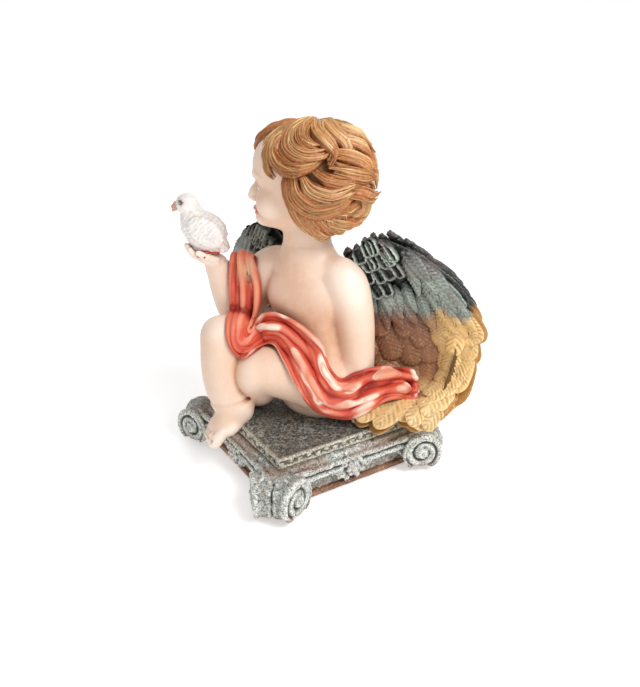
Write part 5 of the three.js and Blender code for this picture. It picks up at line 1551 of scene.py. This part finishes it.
def stone_material():
    """Cast resin painted as speckled stone."""
    s = Shader("stone_paint")
    colour = s.wear(s.paint(), (0.030, 0.030, 0.026), 0.78, (0.6, 3, 0.7), 0.47, 0.6)
    flecks = s.band(s.cells(0.85), 0.0, 0.34, 1.0, 0.0)
    share = s.math("MULTIPLY", flecks, s.band(s.noise(2.5, 2), 0.42, 0.6, 0.1, 0.7))
    colour = s.wear(s.mix(colour, (0.86, 0.84, 0.76), share), (0.27, 0.17, 0.10), 0.3, (4.5, 3), 0.56, 0.7)
    height = s.math("ADD", s.noise(0.7, 4, 0.7), s.band(s.cells(1.3), 0.0, 0.35))
    return s.finish(colour, s.sheen(2.5, 0.42, 0.62), s.bump(height, 0.14), Specular_IOR_Level=0.45)


def felt_material():
    s = Shader("felt_fabric")
    tuft = s.band(s.noise(0.4, 4, 0.7), 0.3, 0.7)
    colour = s.mix((0.018, 0.035, 0.02), (0.05, 0.08, 0.05), tuft)
    return s.finish(colour, s.sheen(3, 0.88, 0.98), s.bump(s.noise(0.3, 4), 0.15), Sheen_Weight=0.4)


def dowel_material():
    s = Shader("dowel_wood")
    grain = s.band(s.noise(0.7, 3, 0.6, (6, 6, 0.6)), 0.35, 0.65)
    colour = s.mix((0.52, 0.35, 0.19), (0.70, 0.52, 0.32), grain)
    return s.finish(colour, s.band(grain, 0.0, 1.0, 0.55, 0.7), s.bump(grain, 0.04))


def wire_material():
    s = Shader("pin_wire")
    draw = s.band(s.noise(0.3, 2, 0.5, (1, 1, 0.1)), 0.35, 0.65)
    colour = s.mix((0.50, 0.50, 0.51), (0.68, 0.68, 0.69), draw)
    return s.finish(colour, s.band(draw, 0.0, 1.0, 0.26, 0.4), s.bump(draw, 0.01), Metallic=1.0)


# ---------------------------------------------------------------- assembly
def build_skin():
    material = skin_material()
    body = sculpt_body()
    points, faces = clay_mesh(body)
    place(make_mesh("skin_body", points, faces, skin_paint(body, points), material=material), "skin",
          "torso", "left_arm", "right_arm", "left_leg", "right_leg")
    head = sculpt_head()
    points, faces = clay_mesh(head)
    place(make_mesh("skin_head", points, faces, face_paint(head, points), material=material), "skin",
        "head")
    return body


skin = build_skin()
build_hair()
build_wings()
build_sash(skin)
build_dove()
build_base()


# ---------------------------------------------------------------- floor, light and camera
def light(name, where, size, power, aim=(0, 0, 30)):
    data = bpy.data.lights.new(name, "AREA")
    data.shape = "DISK"
    data.size = size * MM
    data.energy = power
    ob = bpy.data.objects.new(name, data)
    ob.location = Vector(where) * MM
    ob.rotation_euler = (Vector(aim) - Vector(where)).to_track_quat("-Z", "Y").to_euler()
    bpy.context.scene.collection.objects.link(ob)


def studio():
    """A pale paper floor that sweeps up behind the figure."""
    depth = [-900, -200, 300, 650, 900, 1080, 1180, 1230, 1240, 1240]
    rise = [0, 0, 0, 0, 25, 90, 210, 400, 700, 1600]
    wide, away = 1800, np.array([-0.842, 0.539])
    right = np.array([0.539, 0.842])
    line = spline(np.stack([depth, rise], 1), 60)
    line[:, 1] = np.maximum(line[:, 1], 0)
    across = np.linspace(-wide, wide, 24)
    points = np.array([[*(away * d + right * a), z - SLAB_TOP] for d, z in line for a in across])
    n = len(across)
    faces = [[i * n + j, i * n + j + 1, (i + 1) * n + j + 1, (i + 1) * n + j] for i in range(len(line) - 1)
        for j in range(n - 1)]
    s = Shader("floor_paper")
    tone = s.band(s.noise(60, 2), 0.3, 0.7)
    paper = s.finish(s.mix((0.93, 0.93, 0.93), (0.95, 0.95, 0.95), tone), 0.9,
                     Emission_Color=(1, 1, 1, 1), Emission_Strength=0.42)
    make_mesh("floor", points, faces, material=paper)
    world = bpy.data.worlds.new("studio")
    world.use_nodes = True
    world.node_tree.nodes["Background"].inputs["Color"].default_value = (1, 1, 1, 1)
    world.node_tree.nodes["Background"].inputs["Strength"].default_value = 0.44
    bpy.context.scene.world = world
    light("key", (350, 90, 420), 300, 2.0)
    light("fill", (260, -420, 260), 420, 0.3)
    view = bpy.context.scene.view_settings
    view.view_transform = "Standard"
    view.look = "None"


def camera():
    turn, rise, reach = math.radians(57.4), math.radians(22.3), 248.6
    aim = Vector((2.8, 4.4, 46.3))
    back = Vector((math.sin(turn) * math.cos(rise), -math.cos(turn) * math.cos(rise), math.sin(rise)))
    data = bpy.data.cameras.new("camera")
    data.lens = 34.585
    data.sensor_width = 36
    data.clip_start = 0.005
    ob = bpy.data.objects.new("camera", data)
    ob.location = (aim + back * reach) * MM
    ob.rotation_euler = (-back).to_track_quat("-Z", "Y").to_euler()
    bpy.context.scene.collection.objects.link(ob)
    bpy.context.scene.camera = ob


studio()
camera()
